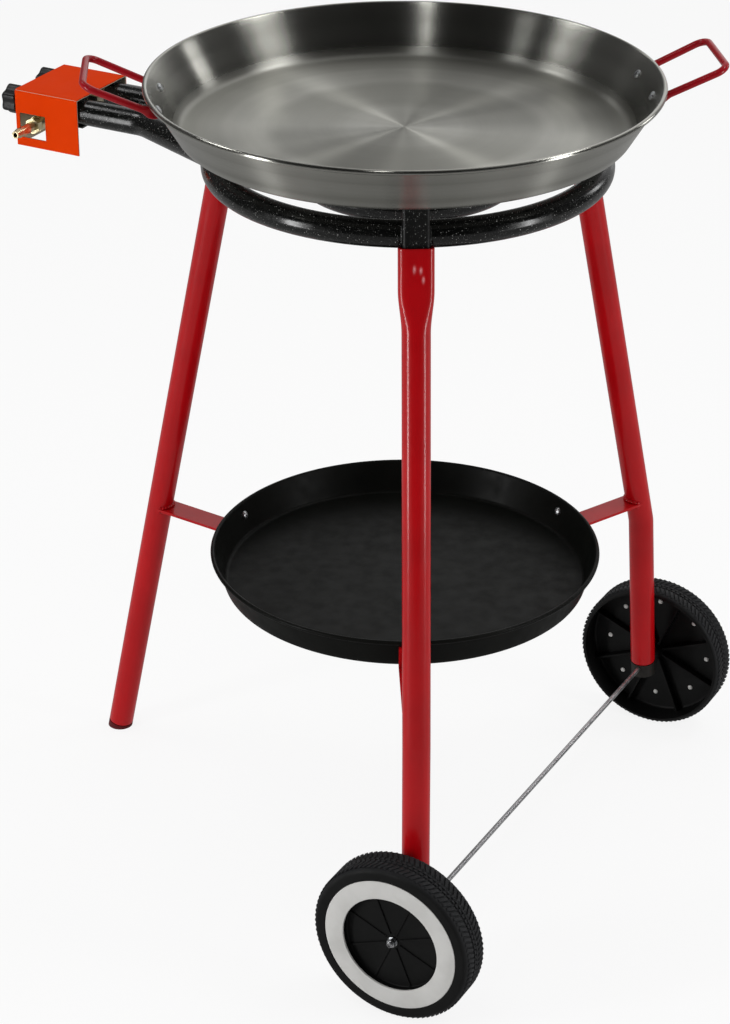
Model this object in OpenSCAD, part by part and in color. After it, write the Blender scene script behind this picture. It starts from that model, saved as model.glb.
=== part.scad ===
// Two-ring gas paella burner on a wheeled tripod stand, with its pan and a lower tray.
// Millimetres, +Z up, floor at z = 0. Front is -Y; the controls point to the back left.

/* [Pan] */
// Diameter over the rolled rim
pan_d = 500; // [460:5:560]
// Height from the outer base to the top of the rim
pan_depth = 50; // [42:1:60]
// Sheet thickness
pan_wall = 1.5; // [1:0.1:2.5]
// Outward lean of the wall from vertical, degrees
pan_lean = 31; // [24:1:38]
// Outer radius where the floor turns into the wall
pan_corner_r = 10; // [5:1:14]
// Diameter of the rolled rim bead
pan_bead_d = 5; // [4:0.5:7]
// How far the loose pan stands to the right of the burner's middle
pan_shift = -3.5; // [-8:0.5:8]

/* [Pan handles] */
// Diameter of the bent handle rod
handle_rod_d = 7; // [6:0.5:9]
// Distance from the pan rim out to the middle of the grip
handle_reach = 54; // [45:1:70]
// Height of the grip above the pan rim
handle_rise = 12; // [4:1:20]
// Length of the grip between its two corners
handle_grip_w = 90; // [76:1:110]
// Bend radius of the rod at the corners
handle_corner_r = 12; // [9:1:18]
// Direction of the left handle, degrees
left_handle_az = 181; // [175:1:188]
// Direction of the right handle, degrees
right_handle_az = 6; // [0:1:12]
// Spacing of the two flattened rod ends
pad_spacing = 74; // [64:1:84]
// Length of a flattened rod end along the wall
pad_l = 21; // [19:1:26]
// Height of a flattened rod end
pad_w = 12; // [10:0.5:14]
// Thickness of a flattened rod end
pad_t = 4; // [3:0.5:5]
// Height of the rivets above the pan base
rivet_rise = 33; // [28:0.5:36]
// Rivet shank diameter
rivet_d = 5; // [4:0.5:6]
// Rivet head diameter
rivet_head_d = 9; // [7:0.5:10]
// Rivet head height
rivet_head_h = 2.4; // [1.5:0.1:3]

/* [Burner rings] */
// Diameter over the outer ring
ring_od = 400; // [380:5:430]
// Diameter over the inner ring
inner_ring_od = 218; // [190:2:240]
// Diameter of the ring and feed tubes
ring_tube_d = 26; // [20:0.5:27]
// Wall of the ring and feed tubes
ring_tube_wall = 2; // [1.5:0.1:3]
// Height of the outer ring's middle above the floor
ring_z = 744; // [700:1:800]
// How much lower the inner ring sits
inner_ring_drop = 11; // [4:1:13]
// Flame port diameter
port_d = 2.4; // [1.5:0.1:3.5]
// Lean of the ports from straight up, alternately in and out, degrees
port_lean = 25; // [10:1:40]
// Ports round the outer ring
outer_ports = 48; // [24:2:60]
// Ports round the inner ring
inner_ports = 24; // [12:2:32]

/* [Feed tubes] */
// Distance between the two feed tubes
feed_spacing = 60; // [56:1:66]
// Distance from the burner axis to the open mouths of the feed tubes
feed_mouth_r = 362; // [345:1:385]
// Straight length from the mouth to the first bend
feed_straight = 80; // [60:1:95]
// Bend radius on the tube's middle line
feed_bend_r = 40; // [30:1:50]
// Angle round the outer ring at which its feed tube joins, degrees
outer_feed_turn = 25; // [20:1:32]
// Level length of the inner feed on either side of the outer ring
dip_run = 28; // [24:1:34]

/* [Brackets] */
// Width of the channel that carries the pan
bracket_w = 24.5; // [20:0.5:25]
// Depth of the channel
bracket_depth = 12; // [9:0.5:12.5]
// Sheet thickness of the channel
bracket_t = 3; // [2:0.5:4]
// Clear height between the outer ring and the pan
pan_gap = 20.5; // [16:0.5:32]
// Length of the bracket inside the leg
bracket_insert = 40; // [25:1:60]
// Length of the folded lip that the pan's flat base rests on
rest_lip = 10; // [6:1:20]

/* [Legs] */
// Outer diameter of the leg tube
leg_od = 26.9; // [25:0.1:30]
// Wall of the leg tube
leg_wall = 1.5; // [1:0.1:2]
// Outward splay of the upper leg, degrees
leg_splay = 12.4; // [9:0.1:14]
// Distance of the leg axis outside the outer ring, at ring height
leg_offset = 1.3; // [0:0.1:3]
// Distance from ring height down to the leg's top edge
leg_top_drop = 7; // [6:0.1:18]
// Width of the flattened leg top
leg_top_w = 33.5; // [32:0.5:36]
// Thickness of the flattened leg top
leg_top_t = 20; // [18.5:0.5:21]
// Length of the flattened part
leg_flat_l = 43; // [30:1:60]
// Length over which the flattened part turns round
leg_blend_l = 36; // [25:1:50]
// Height of the bend in the two wheel legs
leg_bend_z = 271; // [240:1:285]
// Bend radius of the wheel legs
leg_bend_r = 60; // [40:5:100]
// Outward lean below the bend, degrees
leg_lower_lean = 4; // [2:0.1:7]
// Height of the foot cap along the plain leg
foot_cap_h = 6; // [5:0.5:10]
// Depth of the plugs in the tube ends
plug_insert = 22; // [12:1:35]

/* [Axle and wheels] */
// Axle rod diameter
axle_d = 5; // [4:0.5:8]
// Distance from the axle up to the end of a wheel leg
axle_to_tube = 5; // [4.5:0.5:9]
// Distance from the axle down to the bottom of its plug
plug_below = 10; // [7:0.5:14]
// Height of the plug's axle boss beyond the leg
boss_proud = 0.5; // [0.3:0.1:2]
// Washer outer diameter
washer_d = 10.5; // [9:0.5:16]
// Washer thickness
washer_t = 1.2; // [0.8:0.1:2]
// Axle nut width across flats
nut_flats = 8; // [7:0.5:14]
// Axle nut height
nut_h = 4; // [3:0.5:7]
// Axle thread standing out of the nut
axle_proud = 1.5; // [1:0.5:3]
// Wheel diameter
wheel_d = 168; // [140:2:180]
// Wheel width
wheel_w = 38; // [32:1:46]
// Radius of the tyre's shoulders
tyre_shoulder_r = 4; // [2:0.5:6]
// Thickness of the tyre wall under the tread
tyre_wall = 5; // [4:0.5:8]
// Thickness of the wheel's web
web_t = 3; // [2:0.5:4]
// Depth of the dished centre below the outer face
web_recess = 8; // [6:0.5:11]
// Hub diameter
hub_d = 18; // [15:0.5:24]
// Length of the hub standing proud of the inner face
hub_proud = 0.5; // [0.5:0.5:4]
// Inner diameter of the white trim ring
trim_id = 102; // [90:1:112]
// Outer diameter of the white trim ring
trim_od = 141; // [132:1:146]
// Thickness of the trim ring
trim_t = 2; // [1.5:0.5:3]
// Width of the two walls that carry the trim ring
trim_seat_w = 3; // [2:0.5:4]
// Diameter of the circle of trim studs
stud_circle_d = 118; // [114:1:126]
// Trim stud diameter
stud_d = 3; // [2.5:0.5:4]
// Number of trim studs, and of web ribs between them
stud_count = 8; // [6:1:10]
// Diameter of the flattened end of a stud
stud_head_d = 5.5; // [5:0.5:7]
// Height of the flattened end of a stud
stud_head_h = 1.4; // [1:0.2:2]
// Thickness of the web ribs
rib_t = 2.4; // [1.6:0.2:3.2]
// Height of the ribs on the hidden side of the web
rib_h = 9; // [4:0.5:14]
// Height of the ribs on the outer side of the web
outer_rib_h = 1.2; // [0.8:0.2:2]

/* [Tray] */
// Diameter over the tray's rolled rim
tray_d = 402; // [370:2:420]
// Depth of the tray
tray_depth = 34.5; // [30:0.5:45]
// Height of the tray's underside above the floor
tray_z = 289.5; // [270:0.5:310]
// Sheet thickness of the tray
tray_wall = 1.2; // [0.8:0.1:2]
// Outward lean of the tray wall, degrees
tray_lean = 19; // [14:1:24]
// Outer corner radius of the tray
tray_corner_r = 6; // [4:0.5:9]
// Diameter of the tray's rolled rim bead
tray_bead_d = 4.5; // [3.5:0.5:6]

/* [Tray braces] */
// Width of a brace strip
brace_w = 26; // [20:1:30]
// Thickness of a brace strip
brace_t = 3; // [2.5:0.5:4]
// Height of the weld on the leg
brace_leg_z = 299; // [294:1:312]
// Height of the strip's tab along the tray wall
tab_h = 27; // [25:0.5:28]
// Height of the tray bolts above the tray's underside
tray_bolt_rise = 21; // [17:0.5:22]
// Tray bolt diameter
bolt_d = 5; // [4:0.5:6]
// Tray bolt head diameter
bolt_head_d = 9.5; // [8:0.5:11]
// Tray bolt head height
bolt_head_h = 2.8; // [2:0.2:3.5]
// Tray nut width across flats
tray_nut_flats = 8; // [7:0.5:10]
// Tray nut height
tray_nut_h = 4; // [3:0.5:5]

/* [Controls] */
// Length of the cover along the feed tubes
cover_l = 75; // [70:1:85]
// Width of the cover
cover_w = 92; // [90:1:104]
// Height of the cover
cover_h = 59; // [52:1:66]
// Sheet thickness of the cover
cover_t = 1.5; // [1:0.1:2]
// Outer radius of the folds along the cover's top
cover_fold_r = 3; // [2.2:0.2:5]
// Height of the cover's top above the feed tubes' middle
cover_over = 17; // [16.5:0.5:22]
// Distance from the tube mouths to the outer face of the cover
cover_reach = 65; // [62:1:70]
// Width of the square cut-out for the hose nozzle
cutout_w = 31; // [24:1:34]
// Height of the cut-out
cutout_h = 26; // [23:1:30]
// Height of the nozzle axis above the cut-out's lower edge
cutout_below = 14; // [11.5:0.5:16]
// Outer diameter of the gas rail
rail_d = 16; // [14:0.5:18]
// Wall of the gas rail
rail_wall = 2; // [1.5:0.1:2.5]
// Length of the gas rail
rail_l = 80; // [76:1:84]
// Depth of the gas rail below the valves
rail_drop = 19; // [18:0.5:22]
// Distance of the gas rail behind the cover's outer face
rail_setback = 20; // [17:0.5:24]
// Valve body diameter
valve_d = 18; // [16:0.5:20]
// Diameter of the valve's threaded neck through the cover
neck_d = 12; // [11:0.5:14]
// Diameter of the valve's inlet into the rail
inlet_d = 9; // [7:0.5:10]
// Diameter of the valve's outlet into the jet
outlet_d = 8; // [6:0.5:9]
// Valve stem diameter
stem_d = 6; // [5:0.5:7]
// Length of the stem inside the valve
stem_insert = 22; // [15:1:26]
// Jet width across flats
jet_flats = 12; // [11:0.5:14]
// Length of the jet's hexagon
jet_l = 8; // [7:0.5:10]
// Length of the jet's cone
jet_cone_l = 4; // [3:0.5:5]
// Jet orifice diameter
jet_hole_d = 1.2; // [0.8:0.1:2]
// Distance from the jet's tip to the tube mouth
air_gap = 9; // [7:0.5:11]
// Width of the strap that ties the jet to the tube
strap_w = 14; // [12:0.5:18]
// Thickness of the strap
strap_t = 2; // [1.5:0.1:2.2]
// Overlap of the strap on the tube
strap_lap = 10; // [6:1:14]
// Panel nut width across flats
panel_nut_flats = 17; // [16:0.5:20]
// Panel nut height
panel_nut_h = 3; // [2:0.5:4]
// Knob diameter over its lobes
knob_d = 31; // [28:1:36]
// Knob length
knob_l = 18; // [15:1:28]
// Number of lobes on a knob
knob_lobes = 6; // [5:1:8]
// Gap between the panel nut and the knob
knob_gap = 2; // [1:0.5:4]
// Depth of the stem in the knob
knob_socket = 12; // [9:1:16]
// Nozzle hexagon across flats
nozzle_flats = 15; // [14:0.5:17]
// Length of the nozzle's hexagon
nozzle_hex_l = 7; // [6:0.5:9]
// Diameter of the hose tail
tail_d = 10; // [8:0.5:12]
// Plain length of the hose tail
tail_plain_l = 9; // [6:1:14]
// Number of hose barbs
barb_count = 3; // [2:1:4]
// Length of one barb
barb_l = 7; // [5:0.5:8]
// Depth of a barb's taper
barb_depth = 1.2; // [0.8:0.1:1.5]
// Bore of the nozzle
nozzle_bore = 5; // [4:0.5:6]

/* [Fits] */
// Radial clearance of a turning fit
running_fit = 0.05; // [0.02:0.01:0.1]
// Clearance of a bolt, rivet or plug in its hole
slip_fit = 0.1; // [0.05:0.01:0.2]
// Gap at a welded seam
weld_gap = 0.1; // [0.05:0.01:0.25]
// End play of a wheel on its axle
end_play = 0.3; // [0.2:0.05:0.8]

/* [Hidden] */
$fn = 96;
hull_fn = 32;

// Directions of the three legs; the controls sit over the plain one
front_az = -90;
right_az = 30;
left_az = 150;
leg_azs = [front_az, right_az, left_az];

// Cutting tools reach this far past a face
cut = 1;
big = 2000;

// Step and overlap where a bend meets a straight
bend_seam = 0.05;
bend_lap = 0.6;

// Paint and metal
red = [0.72, 0.03, 0.05];
orange = [0.85, 0.25, 0.06];
enamel = [0.06, 0.06, 0.06];
black = [0.09, 0.09, 0.09];
steel = [0.7, 0.7, 0.68];
brass = [0.78, 0.62, 0.3];
white = [0.86, 0.86, 0.85];

// Rings and pan
ring_r = (ring_od - ring_tube_d) / 2;
inner_ring_r = (inner_ring_od - ring_tube_d) / 2;
inner_ring_z = ring_z - inner_ring_drop;
ring_bore = ring_tube_d - 2 * ring_tube_wall;
ring_inlet_d = ring_bore - 2 * ring_tube_wall;
port_phase = 0.3;
pan_z = ring_z + ring_tube_d / 2 + pan_gap;
pan_rim_r = pan_d / 2 - pan_bead_d / 2;

// Upper legs: r grows by the splay below the ring's height
leg_axis_r = ring_od / 2 + leg_offset;
function leg_r(z) = leg_axis_r + (ring_z - z) * tan(leg_splay);
leg_id = leg_od - 2 * leg_wall;
leg_round_l = leg_top_drop + leg_flat_l + leg_blend_l;
leg_floor_l = ring_z / cos(leg_splay);

// Wheel legs and axle; the axle runs square to the plain leg
axle_z = wheel_d / 2;
axle_leg_r = leg_r(leg_bend_z) + (leg_bend_z - axle_z) * tan(leg_lower_lean);
axle_az = left_az - 90;
axle_half_turn = (right_az - front_az) / 2;
axle_mid_r = axle_leg_r * cos(axle_half_turn);
axle_leg_s = axle_leg_r * sin(axle_half_turn);
boss_s = axle_leg_s + leg_od / 2 + boss_proud;
hub_in_s = boss_s + washer_t + end_play;
wheel_s = hub_in_s + hub_proud + wheel_w / 2;
web_out_s = wheel_s + wheel_w / 2 - web_recess;
hub_out_s = web_out_s;
axle_end_s = hub_out_s + end_play + washer_t + nut_h + axle_proud;

// Feed tubes, in the frame of the controls: x out along the plain leg, y towards the front
feed_y = feed_spacing / 2;
feed_bend_x = feed_mouth_r - feed_straight;
outer_join = ring_r * [cos(outer_feed_turn), sin(outer_feed_turn)];
under_z = ring_z - ring_tube_d - weld_gap;
cross_x = sqrt(ring_r * ring_r - feed_y * feed_y);
inner_join_x = sqrt(inner_ring_r * inner_ring_r - feed_y * feed_y);
outer_feed_path = [
    [feed_mouth_r, feed_y, ring_z],
    [feed_bend_x, feed_y, ring_z],
    [outer_join.x, outer_join.y, ring_z]
];
inner_feed_path = [
    [feed_mouth_r, -feed_y, ring_z],
    [feed_bend_x, -feed_y, ring_z],
    [cross_x + dip_run, -feed_y, under_z],
    [cross_x - dip_run, -feed_y, under_z],
    [inner_join_x, -feed_y, inner_ring_z]
];

// Controls along x, from the tube mouth outwards
jet_tip_x = feed_mouth_r + air_gap;
jet_back_x = jet_tip_x + jet_cone_l + jet_l;
valve_in_x = jet_back_x + strap_t;
cover_out_x = feed_mouth_r + cover_reach;
panel_in_x = cover_out_x - cover_t;
panel_nut_x = cover_out_x + panel_nut_h;
neck_end_x = panel_nut_x + knob_gap / 2;
knob_in_x = panel_nut_x + knob_gap;
knob_out_x = knob_in_x + knob_l;
rail_x = cover_out_x - rail_setback;
rail_z = ring_z - rail_drop;
cover_top_z = ring_z + cover_over;
nozzle_y = rail_l / 2;
tail_y = nozzle_y + nozzle_hex_l;

// Trays and braces
tray_rim_r = tray_d / 2 - tray_bead_d / 2;

// Slanted dish wall, measured on the outer face
function wall_r(rim_r, depth, lean, h) = rim_r - (depth - h) * tan(lean);

// The burner's axis, so that the origin is under the middle of the whole object
x_low = -knob_out_x * cos(30) - (feed_y + knob_d / 2) * sin(30);
y_high = knob_out_x * sin(30) + (feed_y + knob_d / 2) * cos(30);
wheel_out_s = wheel_s + wheel_w / 2;
x_high = axle_mid_r * cos(30) + wheel_out_s * cos(60) + wheel_d / 2 * sin(60);
y_low = -axle_mid_r * sin(30) - wheel_out_s * sin(60) - wheel_d / 2 * cos(60);
axis_at = -[x_low + x_high, y_low + y_high, 0] / 2;

// Frames

module at_axis() translate(axis_at) children();

module at_az(az) at_axis() rotate([0, 0, az]) children();

module at_controls() at_az(left_az) children();

// z runs up the leg's middle line, from ring height
module at_leg(az) at_az(az)
    translate([leg_axis_r, 0, ring_z]) rotate([0, -leg_splay, 0]) children();

// x points outwards along the axle from its middle, on the front or the right side
module at_axle(side) at_axis()
    translate([axle_mid_r * cos(axle_az - 90), axle_mid_r * sin(axle_az - 90), axle_z])
        rotate([0, 0, axle_az + (side == "front" ? 180 : 0)]) children();

// z runs up the lower leg from the axle
module at_lower_leg(az) at_az(az)
    translate([axle_leg_r, 0, axle_z]) rotate([0, -leg_lower_lean, 0]) children();

// x points out of a dish wall, square to it, at height h on its outer face
module at_wall(rim_r, depth, lean, z, h)
    translate([wall_r(rim_r, depth, lean, h), 0, z + h]) rotate([0, lean, 0]) children();

// The loose pan stands a little off the burner's middle
module at_pan(az) at_axis() translate([pan_shift, 0, 0]) rotate([0, 0, az]) children();

module at_pan_wall(az) at_pan(az)
    at_wall(pan_rim_r, pan_depth, pan_lean, pan_z, rivet_rise) children();

module at_tray_wall(az) at_az(az)
    at_wall(tray_rim_r, tray_depth, tray_lean, tray_z, tray_bolt_rise) children();

// Round bars along x, and bars bent along a path

module x_rod(x0, x1, d) translate([x0, 0, 0]) rotate([0, 90, 0]) cylinder(h = x1 - x0, d = d);

module x_hex(x0, x1, flats) translate([x0, 0, 0]) rotate([0, 90, 0])
    cylinder(h = x1 - x0, d = flats / cos(30), $fn = 6);

module x_cone(x0, x1, d0, d1) translate([x0, 0, 0]) rotate([0, 90, 0])
    cylinder(h = x1 - x0, d1 = d0, d2 = d1);

function unit(v) = v / norm(v);

function heading(path, i) = unit(path[i + 1] - path[i]);

function turn(path, i) = acos(heading(path, i - 1) * heading(path, i));

// Distance from a corner to the start of its bend; none at the ends of the path
function setback(path, i, r) = i == 0 || i == len(path) - 1 ? 0 : r * tan(turn(path, i) / 2);

function stretched(path, e) = [
    for (i = [0 : len(path) - 1])
        i == 0 ? path[0] - heading(path, 0) * e
        : i == len(path) - 1 ? path[i] + heading(path, i - 1) * e
        : path[i]
];

module straight(p, q, d) {
    v = q - p;
    translate(p) rotate([0, acos(v.z / norm(v)), atan2(v.y, v.x)]) cylinder(h = norm(v), d = d);
}

// A bend is a hair thinner than the straights and laps into both of them
module bend(path, i, r, d) {
    a = heading(path, i - 1);
    b = heading(path, i);
    angle = turn(path, i);
    lap = bend_lap / r * 180 / PI;
    n = unit(cross(a, b));
    middle = path[i] + unit(b - a) * r / cos(angle / 2);
    e = unit(path[i] - a * setback(path, i, r) - middle);
    multmatrix([
        [e.x, a.x, n.x, middle.x],
        [e.y, a.y, n.y, middle.y],
        [e.z, a.z, n.z, middle.z],
        [0, 0, 0, 1]
    ])
        rotate([0, 0, -lap]) rotate_extrude(angle = angle + 2 * lap)
            translate([r, 0]) circle(d = d - 2 * bend_seam);
}

module bent_rod(path, r, d) {
    for (i = [0 : len(path) - 2])
        straight(
            path[i] + heading(path, i) * setback(path, i, r),
            path[i + 1] - heading(path, i) * setback(path, i + 1, r),
            d
        );
    for (i = [1 : 1 : len(path) - 2]) bend(path, i, r, d);
}

module bent_tube(path, r, od, id) difference() {
    bent_rod(path, r, od);
    bent_rod(stretched(path, cut), r, id);
}

// Spun dish with a slanted wall and a rolled rim; used for the pan and the tray

function dish_arc_x(rim_r, depth, lean, corner_r) =
    rim_r - corner_r * cos(lean) - (depth - corner_r + corner_r * sin(lean)) * tan(lean);

function arc(c, r, from, to, steps) = [
    for (i = [0 : steps]) c + r * [cos(from + (to - from) * i / steps), sin(from + (to - from) * i / steps)]
];

module dish(rim_r, depth, lean, corner_r, wall, bead_d) {
    c = [dish_arc_x(rim_r, depth, lean, corner_r), corner_r];
    steps = 6;
    top = depth - bead_d / 2;
    top_r = wall_r(rim_r, depth, lean, top);
    rotate_extrude() {
        polygon(concat(
            [[0, 0]],
            arc(c, corner_r, -90, -lean, steps),
            [[top_r, top], [top_r - wall / cos(lean), top]],
            arc(c, corner_r - wall, -lean, -90, steps),
            [[0, wall]]
        ));
        translate([rim_r, top]) circle(d = bead_d);
    }
}

// Pan

// Direction, from the handle's own, of a flattened rod end
pad_az = asin(pad_spacing / 2 / wall_r(pan_rim_r, pan_depth, pan_lean, rivet_rise));
pad_rivet_y = -(pad_l / 2 - pad_w / 2);
pad_rod_y = pad_l / 2 - handle_rod_d / 2 - cut;
handle_azs = [left_handle_az, right_handle_az];

module pan_body() color(steel) difference() {
    at_pan(0) translate([0, 0, pan_z])
        dish(pan_rim_r, pan_depth, pan_lean, pan_corner_r, pan_wall, pan_bead_d);
    for (az = handle_azs, side = [-1, 1])
        at_pan_wall(az + side * pad_az) translate([0, side * pad_rivet_y, 0])
            x_rod(-pan_wall - cut, cut, rivet_d + 2 * slip_fit);
}

// Where the rod meets its flattened end, in the handle's frame
function rod_root(side) = let (
    r = wall_r(pan_rim_r, pan_depth, pan_lean, rivet_rise),
    az = side * pad_az,
    out = pad_t + weld_gap,
    n = [cos(pan_lean) * cos(az), cos(pan_lean) * sin(az), -sin(pan_lean)]
) [r * cos(az), r * sin(az), pan_z + rivet_rise] + out * n + side * pad_rod_y * [-sin(az), cos(az), 0];

module handle_pad(side) difference() {
    x0 = weld_gap;
    x1 = weld_gap + pad_t;
    union() {
        for (y = [-1, 1] * (pad_l - pad_w) / 2) translate([0, y, 0]) x_rod(x0, x1, pad_w);
        translate([x0, -(pad_l - pad_w) / 2, -pad_w / 2]) cube([pad_t, pad_l - pad_w, pad_w]);
    }
    translate([0, side * pad_rivet_y, 0]) x_rod(x0 - cut, x1 + cut, rivet_d + 2 * slip_fit);
}

module pan_handle(az) color(red) {
    grip_x = pan_d / 2 + handle_reach;
    grip_z = pan_z + pan_depth + handle_rise;
    at_pan(az) bent_rod([
        rod_root(1),
        [grip_x, handle_grip_w / 2, grip_z],
        [grip_x, -handle_grip_w / 2, grip_z],
        rod_root(-1)
    ], handle_corner_r, handle_rod_d);
    for (side = [-1, 1]) at_pan_wall(az + side * pad_az) handle_pad(side);
}

module pan_handle_left() pan_handle(left_handle_az);

module pan_handle_right() pan_handle(right_handle_az);

// A low dome with its flat side at x and its crown on the side given
module dome(x, d, h, side) translate([x, 0, 0]) rotate([0, side * 90, 0]) rotate_extrude() intersection() {
    r = (d * d / 4 + h * h) / (2 * h);
    translate([0, h - r]) circle(r = r);
    square([d, h]);
}

// How far the round pan wall falls away from a flat end, y along it
function wall_sag(y) = y * y / 2 / wall_r(pan_rim_r, pan_depth, pan_lean, rivet_rise);

module handle_rivets() color(steel)
    for (az = handle_azs, side = [-1, 1])
        at_pan_wall(az + side * pad_az) translate([0, side * pad_rivet_y, 0]) {
            inside = -pan_wall - weld_gap - wall_sag(rivet_head_d / 2 - pad_rivet_y);
            outside = pad_t + 2 * weld_gap;
            x_rod(inside, outside, rivet_d);
            dome(inside, rivet_head_d, rivet_head_h, -1);
            dome(outside, rivet_head_d, rivet_head_h, 1);
        }

// Burner

// A round ring whose section starts at the underside, clear of the ports and inlets
module ring_solid(r, z, d) translate([0, 0, z]) rotate_extrude()
    translate([r, 0]) rotate(-90) circle(d = d);

module burner_ring(r, z, ports) difference() {
    ring_solid(r, z, ring_tube_d);
    ring_solid(r, z, ring_bore);
    for (i = [0 : ports - 1])
        rotate([0, 0, (i + port_phase) * 360 / ports]) translate([r, 0, z])
            rotate([0, (i % 2 == 0 ? 1 : -1) * port_lean, 0]) cylinder(h = ring_tube_d, d = port_d);
}

// The hole by which the last stretch of a feed tube opens into its ring
module inlet_hole(path) {
    last = len(path) - 1;
    way = heading(path, last - 1);
    straight(path[last] - way * 2 * ring_tube_d, path[last], ring_inlet_d);
}

module outer_ring() color(enamel) difference() {
    at_axis() burner_ring(ring_r, ring_z, outer_ports);
    at_controls() inlet_hole(outer_feed_path);
}

module inner_ring() color(enamel) difference() {
    at_axis() burner_ring(inner_ring_r, inner_ring_z, inner_ports);
    at_controls() inlet_hole(inner_feed_path);
}

module feed_tube(path, r, z) color(enamel) difference() {
    at_controls() bent_tube(path, feed_bend_r, ring_tube_d, ring_bore);
    at_axis() ring_solid(r, z, ring_tube_d + 2 * weld_gap);
}

module outer_feed_tube() feed_tube(outer_feed_path, ring_r, ring_z);

module inner_feed_tube() feed_tube(inner_feed_path, inner_ring_r, inner_ring_z);

// Folded channel, web outwards, round at its two folds
module channel_section() difference() {
    union() {
        translate([-bracket_depth / 2, -bracket_w / 2]) square([bracket_depth - bracket_t, bracket_w]);
        translate([0, -bracket_w / 2 + bracket_t]) square([bracket_depth / 2, bracket_w - 2 * bracket_t]);
        for (side = [-1, 1])
            translate([bracket_depth / 2 - bracket_t, side * (bracket_w / 2 - bracket_t)])
                circle(r = bracket_t);
    }
    translate([-bracket_depth / 2 - cut, -bracket_w / 2 + bracket_t])
        square([bracket_depth - bracket_t + cut, bracket_w - 2 * bracket_t]);
}

// The lips reach in under the flat of the pan's base, whichever way the pan is shifted
bracket_top_r = leg_r(pan_z);
pan_flat_r = dish_arc_x(pan_rim_r, pan_depth, pan_lean, pan_corner_r) - abs(pan_shift);
rest_in_r = min(bracket_top_r - bracket_depth / 2, pan_flat_r) - rest_lip;
rest_out_r = bracket_top_r + (bracket_depth - bracket_t) / 2;
rest_w = bracket_w - bracket_t;

module bracket(az) color(enamel) difference() {
    union() {
        at_leg(az) translate([0, 0, -leg_top_drop - bracket_insert])
            linear_extrude(height = leg_top_drop + bracket_insert + ring_tube_d + 2 * pan_gap)
                channel_section();
        at_az(az) translate([rest_in_r, -rest_w / 2, pan_z - bracket_t])
            cube([rest_out_r - rest_in_r, rest_w, bracket_t + cut]);
    }
    at_axis() ring_solid(ring_r, ring_z, ring_tube_d + 2 * weld_gap);
    at_axis() translate([-big / 2, -big / 2, pan_z]) cube(big);
}

module bracket_front() bracket(front_az);

module bracket_right() bracket(right_az);

module bracket_left() bracket(left_az);

// Gas controls

module at_tube(side) at_controls() translate([0, side * feed_y, ring_z]) children();

// Strap over and under the tube mouth, closed at the jet
module jet_strap(side) color(enamel) at_tube(side) {
    lap_x = feed_mouth_r - strap_lap;
    inside = ring_tube_d / 2 + weld_gap;
    for (z = [inside, -inside - strap_t])
        translate([lap_x, -strap_w / 2, z]) cube([valve_in_x - lap_x, strap_w, strap_t]);
    difference() {
        translate([jet_back_x, -strap_w / 2, -inside]) cube([strap_t, strap_w, 2 * inside]);
        x_rod(jet_back_x - cut, valve_in_x + cut, outlet_d + 2 * slip_fit);
    }
}

module jet_strap_near() jet_strap(1);

module jet_strap_far() jet_strap(-1);

module valve_body(side) color(brass) at_tube(side) difference() {
    outlet_x = valve_in_x - strap_t - jet_l / 2;
    inlet_l = rail_drop - rail_d / 2 + rail_wall;
    union() {
        x_rod(valve_in_x, panel_in_x, valve_d);
        x_rod(outlet_x, valve_in_x + cut, outlet_d);
        x_rod(panel_in_x - cut, neck_end_x, neck_d);
        translate([rail_x, 0, -inlet_l]) cylinder(h = inlet_l, d = inlet_d);
    }
    x_rod(neck_end_x - stem_insert, neck_end_x + cut, stem_d + 2 * running_fit);
}

module valve_body_near() valve_body(1);

module valve_body_far() valve_body(-1);

module gas_jets() color(brass) for (side = [-1, 1]) at_tube(side) difference() {
    union() {
        x_hex(jet_tip_x + jet_cone_l, jet_back_x, jet_flats);
        x_cone(jet_tip_x, jet_tip_x + jet_cone_l, jet_flats / 2, jet_flats - cut);
    }
    x_rod(jet_back_x - jet_l / 2 - weld_gap, jet_back_x + cut, outlet_d + 2 * slip_fit);
    x_rod(jet_tip_x - cut, jet_back_x, jet_hole_d);
}

module at_rail() at_controls() translate([rail_x, 0, rail_z]) rotate([0, 0, 90]) children();

rail_bore = rail_d - 2 * rail_wall;
spigot_l = 12;
plug_hex_l = 4;

module gas_rail() color(brass) difference() {
    at_rail() x_rod(-rail_l / 2, rail_l / 2, rail_d);
    at_rail() x_rod(-rail_l / 2 - cut, rail_l / 2 + cut, rail_bore);
    for (side = [-1, 1])
        at_tube(side) translate([rail_x, 0, -rail_drop]) cylinder(h = rail_d, d = inlet_d + 2 * slip_fit);
}

module rail_plug() color(brass) at_rail() {
    x_rod(-rail_l / 2 - cut, -rail_l / 2 + spigot_l, rail_bore - 2 * slip_fit);
    x_hex(-rail_l / 2 - plug_hex_l, -rail_l / 2, nozzle_flats);
}

module hose_nozzle() color(brass) at_rail() difference() {
    union() {
        x_rod(nozzle_y - spigot_l, nozzle_y + cut, rail_bore - 2 * slip_fit);
        x_hex(nozzle_y, tail_y, nozzle_flats);
        x_rod(tail_y - cut, tail_y + tail_plain_l, tail_d);
        for (i = [0 : barb_count - 1])
            x_cone(tail_y + tail_plain_l + i * barb_l, tail_y + tail_plain_l + (i + 1) * barb_l,
                tail_d, tail_d - 2 * barb_depth);
    }
    x_rod(nozzle_y - spigot_l - cut, tail_y + tail_plain_l + barb_count * barb_l + cut, nozzle_bore);
}

// Folded sheet seen along x: top and two sides, with round folds
module cover_section(w, h, r) {
    translate([-w / 2, 0]) square([w, h - r]);
    translate([-w / 2 + r, 0]) square([w - 2 * r, h]);
    for (side = [-1, 1]) translate([side * (w / 2 - r), h - r]) circle(r = r);
}

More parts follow.
